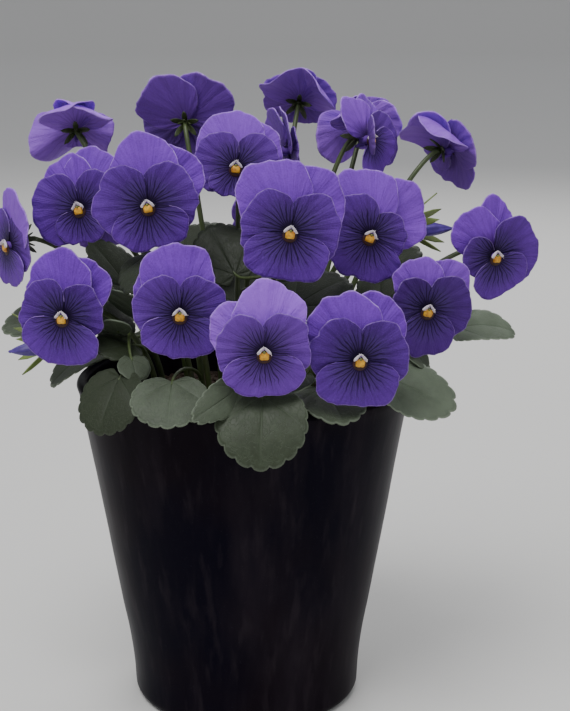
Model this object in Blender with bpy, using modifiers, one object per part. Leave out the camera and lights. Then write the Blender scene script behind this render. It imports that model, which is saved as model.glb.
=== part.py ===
"""A potted horned violet: a tall tapered pot filled with soil, leafy stems that stand in
plain holes in the soil, and a five-petalled bloom held by the calyx of each stem.

The origin is the middle of the pot's base, on the surface that it stands on. +Z is up and
-Y is the front. Tables are in millimetres and degrees, and the model is built in metres.
"""

import math

import bmesh
import bpy
from mathutils import Matrix, Vector

MM = 0.001

# The pot: a straight taper over a short upright foot, with a rounded lip
POT_HEIGHT = 127.0
RIM_RADIUS = 63.6
FOOT_RADIUS = 44.0
FOOT_HEIGHT = 22.0
FOOT_FLARE = 1.6
BASE_EDGE = 4.0
WALL = 4.5
FLOOR = 7.0
POT_SIDES = 28

# The soil, which fills the pot and leaves a small gap to its wall
SOIL_TOP = 115.0
SOIL_CROWN = 1.6
SOIL_GAP = 0.35
HOLE_DEPTH = 9.0
HOLE_RADIUS = 1.75
HOLE_SIDES = 5

# Stems, leaf stalks and blades
STEM_RADIUS = 1.1
STALK_RADIUS = 0.75
STALK_TIP = 0.3
STEM_STEPS = 4
STALK_STEPS = 2
STEM_RISE = 34.0
BLADE = 0.65
PETAL_FAN = math.radians(78)
BENT_ROWS = 2

# The back of a bloom, along its own axis, behind the plane of its eye
CORE_BACK = -4.6
CORE_FRONT = 1.2
CORE_RADIUS = 2.6
CORE_TURN = math.radians(19)
CALYX_FRONT = -4.95
CALYX_BACK = -7.6
CALYX_LIFT = 1.5
CALYX_RADIUS = 1.6
SEPAL_LENGTH = 6.2
BUD_SEPAL_LENGTH = 9.5
BUD_SEPAL_ROOT = 1.5
SEPAL_WIDTH = 2.4
SEPAL_TURNS = (90, 22, 158, -42, -138)
SEPAL_LEAN = math.radians(30)
BUD_SEPAL_LEAN = math.radians(-42)
SPUR_LENGTH = 5.4
HOOK_BACK = 10.0
HOOK_RISE = 5.0

VIOLET = (0.10, 0.055, 0.27, 1.0)
LEAF_GREEN = (0.09, 0.12, 0.07, 1.0)
GLAZE = (0.008, 0.008, 0.016, 1.0)
EARTH = (0.030, 0.018, 0.012, 1.0)

# Petals in units of a bloom's size, which is the reach of a side petal from the eye: root
# in the bloom's plane, heading counter-clockwise from its right, length, roundness of the
# fan, shoulder, notch at the tip, depth in millimetres, lean, curl, cup and fan columns
PETALS = {
    "upper_left": ((0.03, 0.08), 124, 1.46, 0.86, 0.05, 0.0, -2.25, -0.14, -0.06, 0.02, 6),
    "upper_right": ((-0.03, 0.08), 56, 1.42, 0.86, 0.05, 0.0, -3.75, -0.20, -0.06, 0.02, 6),
    "side_left": ((-0.03, 0.04), 168, 1.02, 0.42, 0.10, 0.0, -1.10, -0.04, 0.0, -0.02, 5),
    "side_right": ((0.03, 0.04), 12, 1.02, 0.42, 0.10, 0.0, -1.10, -0.04, 0.0, -0.02, 5),
    "lower": ((0.0, -0.02), -90, 0.95, 0.36, 0.46, 0.05, 0.0, 0.03, -0.08, -0.04, 5),
}

# Blooms: eye at x, y, z, then yaw (0 faces the front, 90 the right), pitch, roll to the
# right, size, and the foot of the stem on the soil. The first 19 are seen from the front
BLOOMS = {
    "01": (-87.0, -8.0, 177.9, -58, 0, 4, 15.2, (-31, 4)),
    "02": (-59.5, -14.0, 192.3, -18, 8, -14, 15.6, (-19, -4)),
    "03": (-33.6, -30.0, 195.2, -6, 6, -10, 17.6, (-13, -12)),
    "04": (15.7, -50.0, 188.9, 4, 6, 8, 17.4, (6, -15)),
    "05": (-2.7, -8.0, 206.3, -4, 12, 4, 15.8, (-3, 3)),
    "06": (45.0, -26.0, 183.6, 6, 4, 22, 16.4, (18, -9)),
    "07": (94.1, -4.0, 172.3, 20, -4, 0, 16.2, (36, -1)),
    "08": (65.3, -34.0, 158.2, 8, -3, 12, 15.2, (34, -12)),
    "09": (-64.0, -38.0, 157.2, -16, 4, -2, 16.4, (-32, -15)),
    "10": (-21.8, -58.0, 162.3, -2, 2, 0, 15.8, (-15, -32)),
    "11": (6.5, -68.0, 151.0, 2, 0, -2, 15.8, (3, -34)),
    "12": (39.1, -62.0, 146.9, 6, 2, 4, 17.0, (22, -34)),
    "13": (-65.0, 37.0, 217.0, 184, 20, 0, 14.6, (-22, 14)),
    "14": (-21.8, 34.0, 219.6, 176, 14, 0, 17.0, (-9, 10)),
    "15": (23.0, 62.0, 226.0, 172, 24, -10, 14.8, (10, 24)),
    "16": (19.0, 18.0, 210.0, 104, 0, 0, 11.4, (0, 12)),
    "17": (48.2, 16.0, 214.4, 44, 12, -6, 13.4, (17, 5)),
    "18": (82.5, 34.0, 209.0, 124, 16, 6, 14.6, (32, 17)),
    "19": (45.5, 46.0, 217.0, 188, 10, 0, 14.4, (25, 9)),
    "20": (-58.0, 56.0, 181.0, 214, 4, 4, 15.0, (-22, 28)),
    "21": (12.0, 74.0, 171.0, 180, 6, -6, 16.0, (0, 36)),
    "22": (54.0, 62.0, 170.0, 150, 2, 6, 15.0, (24, 29)),
}

# Where a bloom's petal differs from the table: change of heading, of length, and how much
# narrower and more pointed its fan is
PETAL_CHANGES = {
    ("01", "upper_left"): (0, 0.80, 1.0),
    ("01", "upper_right"): (8, 1.05, 1.0),
    ("02", "upper_left"): (-6, 0.90, 1.0),
    ("02", "side_left"): (6, 1.20, 1.0),
    ("02", "lower"): (-4, 0.84, 1.3),
    ("03", "upper_left"): (-32, 0.98, 1.3),
    ("03", "upper_right"): (-16, 0.93, 1.0),
    ("03", "side_left"): (0, 1.08, 1.0),
    ("03", "lower"): (0, 0.90, 1.0),
    ("04", "side_left"): (0, 0.96, 1.0),
    ("05", "upper_left"): (-12, 0.90, 0.6),
    ("05", "upper_right"): (-6, 0.86, 0.9),
    ("05", "lower"): (0, 0.72, 1.2),
    ("06", "upper_right"): (-4, 1.06, 1.0),
    ("06", "side_right"): (0, 0.80, 1.0),
    ("07", "upper_left"): (10, 0.84, 1.3),
    ("07", "upper_right"): (22, 0.88, 2.2),
    ("07", "side_left"): (18, 0.78, 1.6),
    ("07", "side_right"): (-4, 1.15, 1.0),
    ("07", "lower"): (23, 1.0, 1.6),
    ("08", "upper_left"): (0, 0.80, 1.0),
    ("08", "upper_right"): (-8, 0.94, 1.2),
    ("08", "side_left"): (0, 0.86, 1.0),
    ("08", "side_right"): (0, 1.08, 1.0),
    ("08", "lower"): (14, 1.18, 3.2),
    ("09", "upper_left"): (-18, 0.94, 0.9),
    ("09", "upper_right"): (4, 0.88, 1.0),
    ("09", "side_right"): (0, 0.88, 1.0),
    ("09", "lower"): (-12, 1.08, 1.2),
    ("10", "upper_left"): (-26, 1.0, 0.9),
    ("10", "upper_right"): (80, 0.84, 1.2),
    ("11", "upper_left"): (-44, 0.97, 0.9),
    ("11", "upper_right"): (88, 0.88, 1.3),
    ("12", "upper_left"): (-2, 0.93, 0.9),
    ("12", "upper_right"): (4, 0.93, 1.0),
    ("13", "upper_left"): (-12, 1.0, 1.0),
    ("13", "upper_right"): (12, 1.0, 1.0),
    ("13", "side_right"): (-42, 1.36, 3.2),
    ("13", "side_left"): (36, 1.0, 2.2),
    ("13", "lower"): (0, 0.60, 1.0),
    ("14", "upper_left"): (6, 0.92, 1.0),
    ("14", "upper_right"): (-6, 0.92, 1.0),
    ("15", "upper_left"): (12, 1.04, 1.0),
    ("15", "lower"): (0, 0.74, 1.0),
    ("17", "upper_left"): (-24, 0.84, 1.2),
    ("17", "upper_right"): (-20, 1.10, 1.4),
    ("17", "side_left"): (0, 0.80, 1.0),
    ("17", "side_right"): (-22, 1.30, 1.6),
    ("17", "lower"): (34, 1.10, 1.3),
    ("18", "upper_left"): (0, 1.0, 1.0),
    ("18", "upper_right"): (0, 0.95, 1.0),
    ("18", "lower"): (26, 1.12, 1.4),
    ("19", "upper_left"): (48, 0.88, 1.6),
    ("19", "upper_right"): (-13, 0.80, 1.3),
    ("19", "side_right"): (-40, 1.40, 2.4),
    ("19", "lower"): (0, 0.70, 1.0),
}

# Petals that are folded: change of lean, change of cup, and degrees that they bend back
PETAL_FOLDS = {
    ("01", "upper_right"): (0.46, 0.0, 0),
    ("13", "upper_left"): (0.25, -0.1, 94),
    ("13", "upper_right"): (0.38, -0.1, 94),
    ("13", "side_right"): (0.0, 1.3, 20),
    ("13", "side_left"): (0.0, 1.0, 20),
    ("15", "upper_left"): (0.20, 0.0, 84),
    ("15", "upper_right"): (0.35, 0.0, 66),
    ("17", "side_left"): (1.25, 0.2, 0),
    ("18", "upper_left"): (0.25, 0.0, 94),
    ("18", "upper_right"): (0.42, 0.0, 92),
    ("19", "upper_left"): (0.20, 0.0, 52),
    ("19", "upper_right"): (0.42, 0.0, 92),
    ("19", "side_right"): (0.0, 0.3, 40),
}

# Closed buds: the same values, with the length of the bud for its size
BUDS = {
    "01": (66.6, 4.0, 181.4, 80, 4, 0, 13.0, (25, -3)),
    "02": (-76.0, -16.0, 141.5, -80, -6, 0, 11.0, (-40, -4)),
}

# Leaves: the stem that carries each, how far up it, the blade's base, its azimuth (0 runs
# to the front, 90 to the right), elevation, roll, length, width share, bend and kind
LEAVES = (
    ("11", 0.22, (6.0, -61.0, 134.5), -4, -34, 0, 27.0, 1.05, 48, "broad"),
    ("11", 0.24, (-1.5, -59.5, 137.5), -48, -20, 58, 22.0, 0.55, 10, "pointed"),
    ("10", 0.18, (-25.0, -56.5, 138.5), -3, -30, 0, 20.0, 1.15, 14, "round"),
    ("09", 0.18, (-43.5, -45.0, 137.5), -36, -42, 0, 22.0, 1.05, 30, "round"),
    ("12", 0.20, (27.0, -42.0, 132.0), 18, -6, 0, 23.0, 1.05, 20, "broad"),
    ("08", 0.20, (50.0, -38.0, 135.0), 84, -20, -42, 28.0, 0.84, 12, "pointed"),
    ("07", 0.42, (79.0, -12.0, 147.0), 92, 12, -34, 24.0, 0.66, 46, "pointed"),
    ("09", 0.44, (-45.0, -30.0, 150.0), -12, 52, 0, 9.0, 1.0, 20, "round"),
    ("09", 0.40, (-40.0, -40.0, 143.0), 20, -30, 0, 10.0, 1.0, 20, "round"),
    ("12", 0.36, (20.5, -52.0, 139.5), -34, -14, 0, 10.0, 1.0, 20, "round"),
    ("08", 0.36, (60.0, -26.0, 143.0), 50, -34, 0, 10.0, 0.9, 20, "round"),
    ("02", 0.40, (-38.0, -12.0, 152.0), -50, 48, 0, 24.0, 1.0, 20, "round"),
    ("01", 0.40, (-66.0, 4.0, 148.0), -86, 4, 24, 26.0, 0.9, 24, "broad"),
    ("01", 0.16, (-53.0, -5.0, 138.0), -80, -14, 4, 24.0, 0.95, 36, "round"),
    ("13", 0.14, (-50.0, 26.0, 134.5), -118, -16, 0, 25.0, 0.95, 36, "broad"),
    ("20", 0.20, (-30.0, 50.0, 134.0), -150, -22, 0, 25.0, 1.0, 40, "round"),
    ("21", 0.20, (2.0, 59.0, 134.5), 180, -28, 0, 26.0, 1.0, 40, "broad"),
    ("22", 0.20, (32.0, 49.0, 133.5), 152, -22, 0, 25.0, 1.0, 40, "broad"),
    ("18", 0.14, (54.0, 26.0, 134.0), 116, -18, 0, 25.0, 0.95, 36, "round"),
    ("07", 0.18, (54.0, -4.0, 133.5), 94, -18, -8, 24.0, 0.95, 36, "broad"),
    ("04", 0.49, (-3.3, -13.6, 167.8), -141, 48, 35, 24.0, 0.8, 20, "round"),
    ("20", 0.33, (-46.4, 32.6, 154.1), -93, 59, 33, 24.0, 1.0, 20, "pointed"),
    ("11", 0.68, (17.9, -37.2, 160.4), 116, 31, -17, 23.0, 1.0, 20, "broad"),
    ("18", 0.35, (49.9, 18.8, 155.5), 93, 52, -27, 24.0, 1.0, 20, "broad"),
    ("16", 0.23, (-0.4, 25.6, 147.2), -168, 47, 4, 24.0, 1.0, 20, "broad"),
)

LEAF_KINDS = {
    # How far the stalk's end lies inside the outline, and how far the tip is drawn out
    "round": (0.72, 0.0),
    "broad": (0.70, 0.10),
    "pointed": (0.62, 0.34),
}
LEAF_FAN = math.radians(122)
LEAF_COLUMNS = 8
SMALL_LEAF_COLUMNS = 6
SMALL_LEAF = 12.0
STRAIGHT_BEND = 25
TOOTH = 0.035


def clear_scene():
    for obj in list(bpy.data.objects):
        bpy.data.objects.remove(obj)


def new_collection(name):
    collection = bpy.data.collections.new(name)
    bpy.context.scene.collection.children.link(collection)
    return collection


def new_material(name, colour, roughness):
    material = bpy.data.materials.new(name)
    material.use_nodes = True
    shader = material.node_tree.nodes["Principled BSDF"]
    shader.inputs["Base Color"].default_value = colour
    shader.inputs["Roughness"].default_value = roughness
    shader.inputs["Metallic"].default_value = 0.0
    return material


def add_object(name, data, collection, matrix=None):
    obj = bpy.data.objects.new(name, data)
    collection.objects.link(obj)
    if matrix is not None:
        obj.matrix_world = matrix
    return obj


def evaluated_mesh(obj):
    graph = bpy.context.evaluated_depsgraph_get()
    mesh = bpy.data.meshes.new_from_object(obj.evaluated_get(graph))
    mesh.transform(obj.matrix_world)
    return mesh


def as_mesh_object(obj, collection):
    """The object as a plain welded mesh at the origin, in place of the object itself."""
    mesh = evaluated_mesh(obj)
    name = obj.name
    bpy.data.objects.remove(obj)
    welded = bmesh.new()
    welded.from_mesh(mesh)
    bmesh.ops.remove_doubles(welded, verts=welded.verts, dist=0.00001)
    welded.to_mesh(mesh)
    welded.free()
    return add_object(name, mesh, collection)


def tube(name, points, radii, collection, sides_step=1):
    """A tube along points in millimetres, with a radius at each."""
    curve = bpy.data.curves.new(name, "CURVE")
    curve.dimensions = "3D"
    curve.bevel_depth = MM
    curve.bevel_resolution = sides_step
    curve.use_fill_caps = True
    spline = curve.splines.new("POLY")
    spline.points.add(len(points) - 1)
    for point, place, radius in zip(spline.points, points, radii):
        point.co = (*(Vector(place) * MM), 1.0)
        point.radius = radius
    obj = add_object(name, curve, collection)
    bpy.context.view_layer.update()
    return as_mesh_object(obj, collection)


def cone(name, back, front, back_radius, front_radius, sides, collection, matrix):
    """A frustum along the local Z axis, from back to front, in millimetres."""
    shape = bmesh.new()
    bmesh.ops.create_cone(
        shape,
        cap_ends=True,
        segments=sides,
        radius1=back_radius * MM,
        radius2=front_radius * MM,
        depth=(front - back) * MM,
        matrix=Matrix.Translation((0, 0, (front + back) / 2 * MM)),
    )
    mesh = bpy.data.meshes.new(name)
    shape.to_mesh(mesh)
    shape.free()
    return add_object(name, mesh, collection, matrix)


def blade(name, point_at, columns, rows, collection, matrix):
    """A thin blade: a grid bent by point_at(across, along), whose root row meets in a point.
    Its faces are triangles, so that both sides of the blade fold alike."""
    sheet = bmesh.new()
    bmesh.ops.create_grid(sheet, x_segments=columns, y_segments=rows, size=1.0)
    for vert in sheet.verts:
        vert.co = Vector(point_at(vert.co.x, (vert.co.y + 1) / 2)) * MM
    bmesh.ops.remove_doubles(sheet, verts=sheet.verts, dist=0.00001)
    bmesh.ops.triangulate(sheet, faces=sheet.faces)
    mesh = bpy.data.meshes.new(name)
    sheet.to_mesh(mesh)
    sheet.free()
    obj = add_object(name, mesh, collection, matrix)
    wall = obj.modifiers.new("Wall", "SOLIDIFY")
    wall.thickness = BLADE * MM
    wall.offset = 0.0
    return obj


def fuse(name, pieces, material, collection):
    """One solid from overlapping pieces, by a Boolean union on a collection of them."""
    bpy.context.view_layer.update()
    others = new_collection(name + "_pieces")
    body = add_object(name + "_body", evaluated_mesh(pieces[0]), collection)
    for piece in pieces[1:]:
        add_object(piece.name + "_solid", evaluated_mesh(piece), others)
    for piece in pieces:
        bpy.data.objects.remove(piece)
    union = body.modifiers.new("Union", "BOOLEAN")
    union.operation = "UNION"
    union.operand_type = "COLLECTION"
    union.collection = others
    union.solver = "EXACT"
    bpy.context.view_layer.update()
    mesh = evaluated_mesh(body)
    mesh.name = name
    bpy.data.objects.remove(body)
    for obj in list(others.objects):
        bpy.data.objects.remove(obj)
    bpy.data.collections.remove(others)
    mesh.materials.clear()
    mesh.materials.append(material)
    return add_object(name, mesh, collection)


def facing(yaw, pitch, roll):
    """A bloom's axes as columns: its right, its up and the way that it faces."""
    turn, rise, tilt = (math.radians(angle) for angle in (yaw, pitch, roll))
    front = Vector(
        (math.sin(turn) * math.cos(rise), -math.cos(turn) * math.cos(rise), math.sin(rise))
    )
    level = Vector((math.cos(turn), math.sin(turn), 0.0))
    upright = front.cross(level)
    up = upright * math.cos(tilt) + level * math.sin(tilt)
    right = level * math.cos(tilt) - upright * math.sin(tilt)
    return Matrix((right, up, front)).transposed()


def bloom_matrix(x, y, z, yaw, pitch, roll):
    return Matrix.Translation(Vector((x, y, z)) * MM) @ facing(yaw, pitch, roll).to_4x4()


def petal_point(number, petal, size, across, along):
    """A point of a petal in millimetres, in its bloom's frame. Across runs from -1 to 1
    between the side edges, and along from 0 at the root to 1 at the margin."""
    root, heading, length, roundness, shoulder, notch, depth, lean, curl, cup, _ = PETALS[petal]
    turned_by, lengthened, narrowed = PETAL_CHANGES.get((number, petal), (0, 1, 1))
    length *= lengthened
    turn = across * PETAL_FAN
    reach = length * math.cos(turn) ** (roundness * narrowed) * (1 + shoulder * math.sin(turn) ** 2)
    reach *= 1 - notch * math.exp(-((turn / 0.15) ** 2))
    forward = along * reach * math.cos(turn)
    side = along * reach * math.sin(turn)
    way = math.radians(heading + turned_by)
    leaned, cupped, bent = PETAL_FOLDS.get((number, petal), (0, 0, 0))
    rise = (lean + leaned) * forward + curl * forward**2 + (cup + cupped) * side**2
    if bent:
        bend = math.radians(bent) / length
        tilt = bend * forward
        forward = math.sin(tilt) * (1 / bend + rise)
        rise = math.cos(tilt) * (1 / bend + rise) - 1 / bend
    return (
        (root[0] + forward * math.cos(way) - side * math.sin(way)) * size,
        (root[1] + forward * math.sin(way) + side * math.cos(way)) * size,
        depth + rise * size,
    )


def build_bloom(number, place, material, collection):
    """Five petals in their layers on a short core, whose front is the eye's pad, and the spur
    of the lower petal behind it."""
    x, y, z, yaw, pitch, roll, size, _ = place
    name = "bloom_" + number
    matrix = bloom_matrix(x, y, z, yaw, pitch, roll)
    core_turn = matrix @ Matrix.Rotation(CORE_TURN, 4, "Z")
    pieces = [cone(name + "_core", CORE_BACK, CORE_FRONT, CORE_RADIUS, 1.5, 4, collection, core_turn)]
    for petal in PETALS:
        pieces.append(
            blade(
                f"{name}_{petal}",
                lambda across, along, petal=petal: petal_point(
                    number, petal, size, across, along
                ),
                PETALS[petal][-1],
                BENT_ROWS if PETAL_FOLDS.get((number, petal), (0, 0, 0))[2] else 1,
                collection,
                matrix,
            )
        )
    spur_turn = Matrix.Translation((0, -1.35 * MM, -2.6 * MM)) @ Matrix.Rotation(
        math.radians(174), 4, "X"
    )
    pieces.append(
        cone(name + "_spur", 0.0, SPUR_LENGTH, 1.0, 0.6, 4, collection, matrix @ spur_turn)
    )
    return fuse(name, pieces, material, collection)


def bezier(start, start_pull, end_pull, end, share):
    rest = 1 - share
    return (
        start * rest**3
        + start_pull * 3 * rest**2 * share
        + end_pull * 3 * rest * share**2
        + end * share**3
    )


def stem_point(place, share):
    """A point of the stem above the soil, in millimetres: it rises from its foot, and hooks
    over behind the bloom to meet the calyx from the back."""
    x, y, z, yaw, pitch, roll, _, foot = place
    axes = facing(yaw, pitch, roll)
    calyx = Vector((x, y, z)) + axes @ Vector((0, CALYX_LIFT, CALYX_BACK + 0.8))
    start = Vector((foot[0], foot[1], SOIL_TOP + SOIL_CROWN))
    behind = axes @ Vector((0, 0, -1))
    return bezier(
        start,
        start + Vector((0, 0, STEM_RISE)),
        calyx + behind * HOOK_BACK + Vector((0, 0, HOOK_RISE)),
        calyx,
        share,
    )


def leaf_axes(azimuth, elevation, roll):
    """A leaf's axes as columns: across, along its rib, and up from its upper face."""
    turn, rise, tilt = (math.radians(angle) for angle in (azimuth, elevation, roll))
    along = Vector(
        (math.sin(turn) * math.cos(rise), -math.cos(turn) * math.cos(rise), math.sin(rise))
    )
    level = Vector((-math.cos(turn), -math.sin(turn), 0.0))
    upper = level.cross(along)
    across = level * math.cos(tilt) + upper * math.sin(tilt)
    return Matrix((across, along, across.cross(along))).transposed()


def leaf_columns(length):
    return SMALL_LEAF_COLUMNS if length < SMALL_LEAF else LEAF_COLUMNS


def leaf_point(kind, length, width, bend, across, along):
    """A point of a leaf blade in millimetres, in its own frame, with its base at the origin."""
    inset, draw = LEAF_KINDS[kind]
    turn = across * LEAF_FAN
    radius = length / (1 + inset + draw)
    reach = inset * math.cos(turn) + math.sqrt(1 - (inset * math.sin(turn)) ** 2)
    reach += draw * math.exp(-((turn / 0.42) ** 2))
    reach *= radius * along * (1 + TOOTH * math.cos(leaf_columns(length) * math.pi * (across + 1) / 2))
    run = reach * math.cos(turn)
    side = reach * math.sin(turn) * width
    curve = math.radians(bend) / length
    if abs(curve) > 1e-6:
        return (side, math.sin(curve * run) / curve, -(1 - math.cos(curve * run)) / curve)
    return (side, run, 0.0)


def build_leaf(name, place, leaf, collection):
    """The pieces of one leaf: its stalk from the stem and its blade."""
    _, share, base, azimuth, elevation, roll, length, width, bend, kind = leaf
    axes = leaf_axes(azimuth, elevation, roll)
    start = stem_point(place, share)
    end = Vector(base) + axes @ Vector((0, 1.4, 0))
    reach = (end - start).length
    out = Vector((end.x - start.x, end.y - start.y, 0)).normalized()
    pulls = (
        start + (out * 0.5 + Vector((0, 0, 0.7))) * reach * 0.4,
        end - axes @ Vector((0, 1, 0)) * reach * 0.35,
    )
    points = [bezier(start, *pulls, end, step / STALK_STEPS) for step in range(STALK_STEPS + 1)]
    radii = [STALK_RADIUS] * STALK_STEPS + [STALK_TIP]
    stalk = tube(name + "_stalk", points, radii, collection, 0)
    matrix = Matrix.Translation(Vector(base) * MM) @ axes.to_4x4()
    shape = blade(
        name + "_blade",
        lambda across, along: leaf_point(kind, length, width, bend, across, along),
        leaf_columns(length),
        2 if bend > STRAIGHT_BEND else 1,
        collection,
        matrix,
    )
    return [stalk, shape]


def calyx_pieces(name, matrix, length, lean, root, collection):
    """The green cup behind a bloom, with five pointed sepals. They lean back from the petals
    of an open bloom, and forward round a bud."""
    lift = Matrix.Translation((0, CALYX_LIFT * MM, 0))
    pieces = [
        cone(name + "_cup", CALYX_BACK, CALYX_FRONT, 0.9, CALYX_RADIUS, 5, collection, matrix @ lift)
    ]
    for turn in SEPAL_TURNS:
        place = (
            matrix
            @ lift
            @ Matrix.Translation((0, 0, (CALYX_FRONT - 0.9) * MM))
            @ Matrix.Rotation(math.radians(turn), 4, "Z")
            @ Matrix.Translation((root * MM, 0, 0))
            @ Matrix.Rotation(math.radians(90) + lean, 4, "Y")
            @ Matrix.Diagonal((0.55, 1.0, 1.0, 1.0))
        )
        pieces.append(
            cone(
                f"{name}_sepal{turn}",
                0.0,
                length,
                SEPAL_WIDTH / 2,
                0.0,
                3,
                collection,
                place,
            )
        )
    return pieces


def build_stem(name, place, leaves, sepals, material, collection):
    """A leafy stem: foot, stem, leaves on their stalks, and the calyx at the top, for which
    sepals gives the length, lean and root of the sepals."""
    x, y, z, yaw, pitch, roll, _, foot = place
    points = [Vector((foot[0], foot[1], SOIL_TOP - HOLE_DEPTH + 0.5))]
    points += [stem_point(place, step / STEM_STEPS) for step in range(STEM_STEPS + 1)]
    radii = [STEM_RADIUS] * (len(points) - 2) + [STEM_RADIUS * 0.85, STEM_RADIUS * 0.8]
    pieces = [tube(name + "_stem", points, radii, collection)]
    pieces += calyx_pieces(name, bloom_matrix(x, y, z, yaw, pitch, roll), *sepals, collection)
    for index, leaf in enumerate(leaves):
        pieces += build_leaf(f"{name}_leaf{index}", place, leaf, collection)
    return fuse(name, pieces, material, collection)


def turned(name, profile, collection, material):
    """A solid of revolution about Z. The profile runs from the axis underneath, round the
    outside, and back to the axis, so it is reversed to keep the faces outwards."""
    mesh = bpy.data.meshes.new(name)
    points = [(radius * MM, 0.0, height * MM) for radius, height in profile]
    mesh.from_pydata(points, [(i, i + 1) for i in range(len(points) - 1)], [])
    mesh.materials.append(material)
    obj = add_object(name, mesh, collection)
    screw = obj.modifiers.new("Turn", "SCREW")
    screw.steps = screw.render_steps = POT_SIDES
    screw.use_merge_vertices = True
    screw.merge_threshold = 0.00001
    screw.use_normal_calculate = True
    return obj


def wall_radius(height):
    """The pot's outer radius at a height: upright at the foot, then a straight taper."""
    knee = FOOT_RADIUS + FOOT_FLARE
    if height < FOOT_HEIGHT:
        return FOOT_RADIUS + FOOT_FLARE * (height / FOOT_HEIGHT) ** 2
    rise = (height - FOOT_HEIGHT) / (POT_HEIGHT - FOOT_HEIGHT)
    return knee + (RIM_RADIUS - knee) * rise


def build_pot(material, collection):
    """The turned shell: base, rounded edge, foot, taper, rounded lip and the inside wall."""
    profile = [(0.0, 0.0)]
    for step in range(3):
        angle = math.radians(45 * step)
        profile.append(
            (FOOT_RADIUS - BASE_EDGE * (1 - math.sin(angle)), BASE_EDGE * (1 - math.cos(angle)))
        )
    profile += [(wall_radius(height), height) for height in (FOOT_HEIGHT / 2, FOOT_HEIGHT)]
    lip = WALL / 2
    for step in range(4):
        angle = math.radians(60 * step)
        profile.append(
            (RIM_RADIUS - lip + lip * math.cos(angle), POT_HEIGHT - lip + lip * math.sin(angle))
        )
    inside = FOOT_HEIGHT + 4
    profile += [(wall_radius(inside) - WALL, inside), (wall_radius(FLOOR) - WALL - 2, FLOOR)]
    profile.append((0.0, FLOOR))
    return turned("pot", profile[::-1], collection, material)


def build_soil(feet, material, collection):
    """The soil: it fills the pot to a low crown, and has a plain hole for each stem."""
    inside = FOOT_HEIGHT + 4
    gap = WALL + SOIL_GAP
    profile = [(0.0, FLOOR + SOIL_GAP), (wall_radius(FLOOR) - gap - 2, FLOOR + SOIL_GAP)]
    profile += [(wall_radius(inside) - gap, inside), (wall_radius(SOIL_TOP) - gap, SOIL_TOP)]
    profile += [(RIM_RADIUS * 0.55, SOIL_TOP + SOIL_CROWN * 0.7), (0.0, SOIL_TOP + SOIL_CROWN)]
    soil = turned("soil", profile[::-1], collection, material)
    holes = new_collection("holes")
    for x, y in feet:
        cut = cone(
            "hole",
            SOIL_TOP - HOLE_DEPTH,
            SOIL_TOP + 6,
            HOLE_RADIUS,
            HOLE_RADIUS,
            HOLE_SIDES,
            holes,
            Matrix.Translation((x * MM, y * MM, 0)),
        )
        cut.hide_render = True
        cut.display_type = "WIRE"
    cutter = soil.modifiers.new("Holes", "BOOLEAN")
    cutter.operation = "DIFFERENCE"
    cutter.operand_type = "COLLECTION"
    cutter.collection = holes
    cutter.solver = "EXACT"
    return soil


def build_bud(number, place, material, collection):
    """A closed bud: a slim pointed spindle of furled petals."""
    x, y, z, yaw, pitch, roll, length, _ = place
    name = "bud_" + number
    matrix = bloom_matrix(x, y, z, yaw, pitch, roll)
    pieces = [
        cone(name + "_body", CORE_BACK, 1.0, 1.5, 2.6, 6, collection, matrix),
        cone(name + "_tip", 0.8, length, 2.5, 0.5, 6, collection, matrix),
    ]
    return fuse(name, pieces, material, collection)


def main():
    clear_scene()
    plant = new_collection("potted_horned_violet")
    violet = new_material("petal_violet", VIOLET, 0.6)
    green = new_material("leaf_green", LEAF_GREEN, 0.55)
    glaze = new_material("navy_glaze", GLAZE, 0.2)
    earth = new_material("potting_soil", EARTH, 0.95)
    build_pot(glaze, plant)
    places = {"bloom_" + n: p for n, p in BLOOMS.items()} | {"bud_" + n: p for n, p in BUDS.items()}
    build_soil([place[7] for place in places.values()], earth, plant)
    for number, place in BLOOMS.items():
        build_bloom(number, place, violet, plant)
        leaves = [leaf for leaf in LEAVES if leaf[0] == number]
        sepals = (SEPAL_LENGTH, SEPAL_LEAN, 0.0)
        build_stem("stem_" + number, place, leaves, sepals, green, plant)
    for number, place in BUDS.items():
        build_bud(number, place, violet, plant)
        sepals = (BUD_SEPAL_LENGTH, BUD_SEPAL_LEAN, BUD_SEPAL_ROOT)
        build_stem("bud_stem_" + number, place, [], sepals, green, plant)


main()
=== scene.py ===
"""A potted horned violet, dressed over its frame of plain solids.

Each bloom, stem, bud, the soil and the pot stands for the solid of the same name. Tables are
in millimetres and degrees, as on the frame, and the finished pieces are in metres.
"""

import math
import random

import bmesh  # noqa: E402
import bpy  # noqa: E402
from bpy.props import (  # noqa: E402
    FloatProperty,
    FloatVectorProperty,
    IntProperty,
    PointerProperty,
)
from mathutils import Matrix, Vector, noise  # noqa: E402


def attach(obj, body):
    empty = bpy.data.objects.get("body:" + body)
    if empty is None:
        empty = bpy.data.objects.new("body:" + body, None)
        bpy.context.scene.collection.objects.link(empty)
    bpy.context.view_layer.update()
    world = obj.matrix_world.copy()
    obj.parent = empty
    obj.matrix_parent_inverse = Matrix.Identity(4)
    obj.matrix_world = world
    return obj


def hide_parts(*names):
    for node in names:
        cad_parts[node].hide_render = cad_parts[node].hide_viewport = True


bl_info = {
    "name": "Potted Horned Violet",
    "version": (1, 0, 0),
    "blender": (4, 5, 0),
    "location": "View3D > Sidebar > Violet",
    "description": "Builds a potted horned violet: glazed pot, soil, leafy stems and blooms",
    "category": "Object",
}

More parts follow.
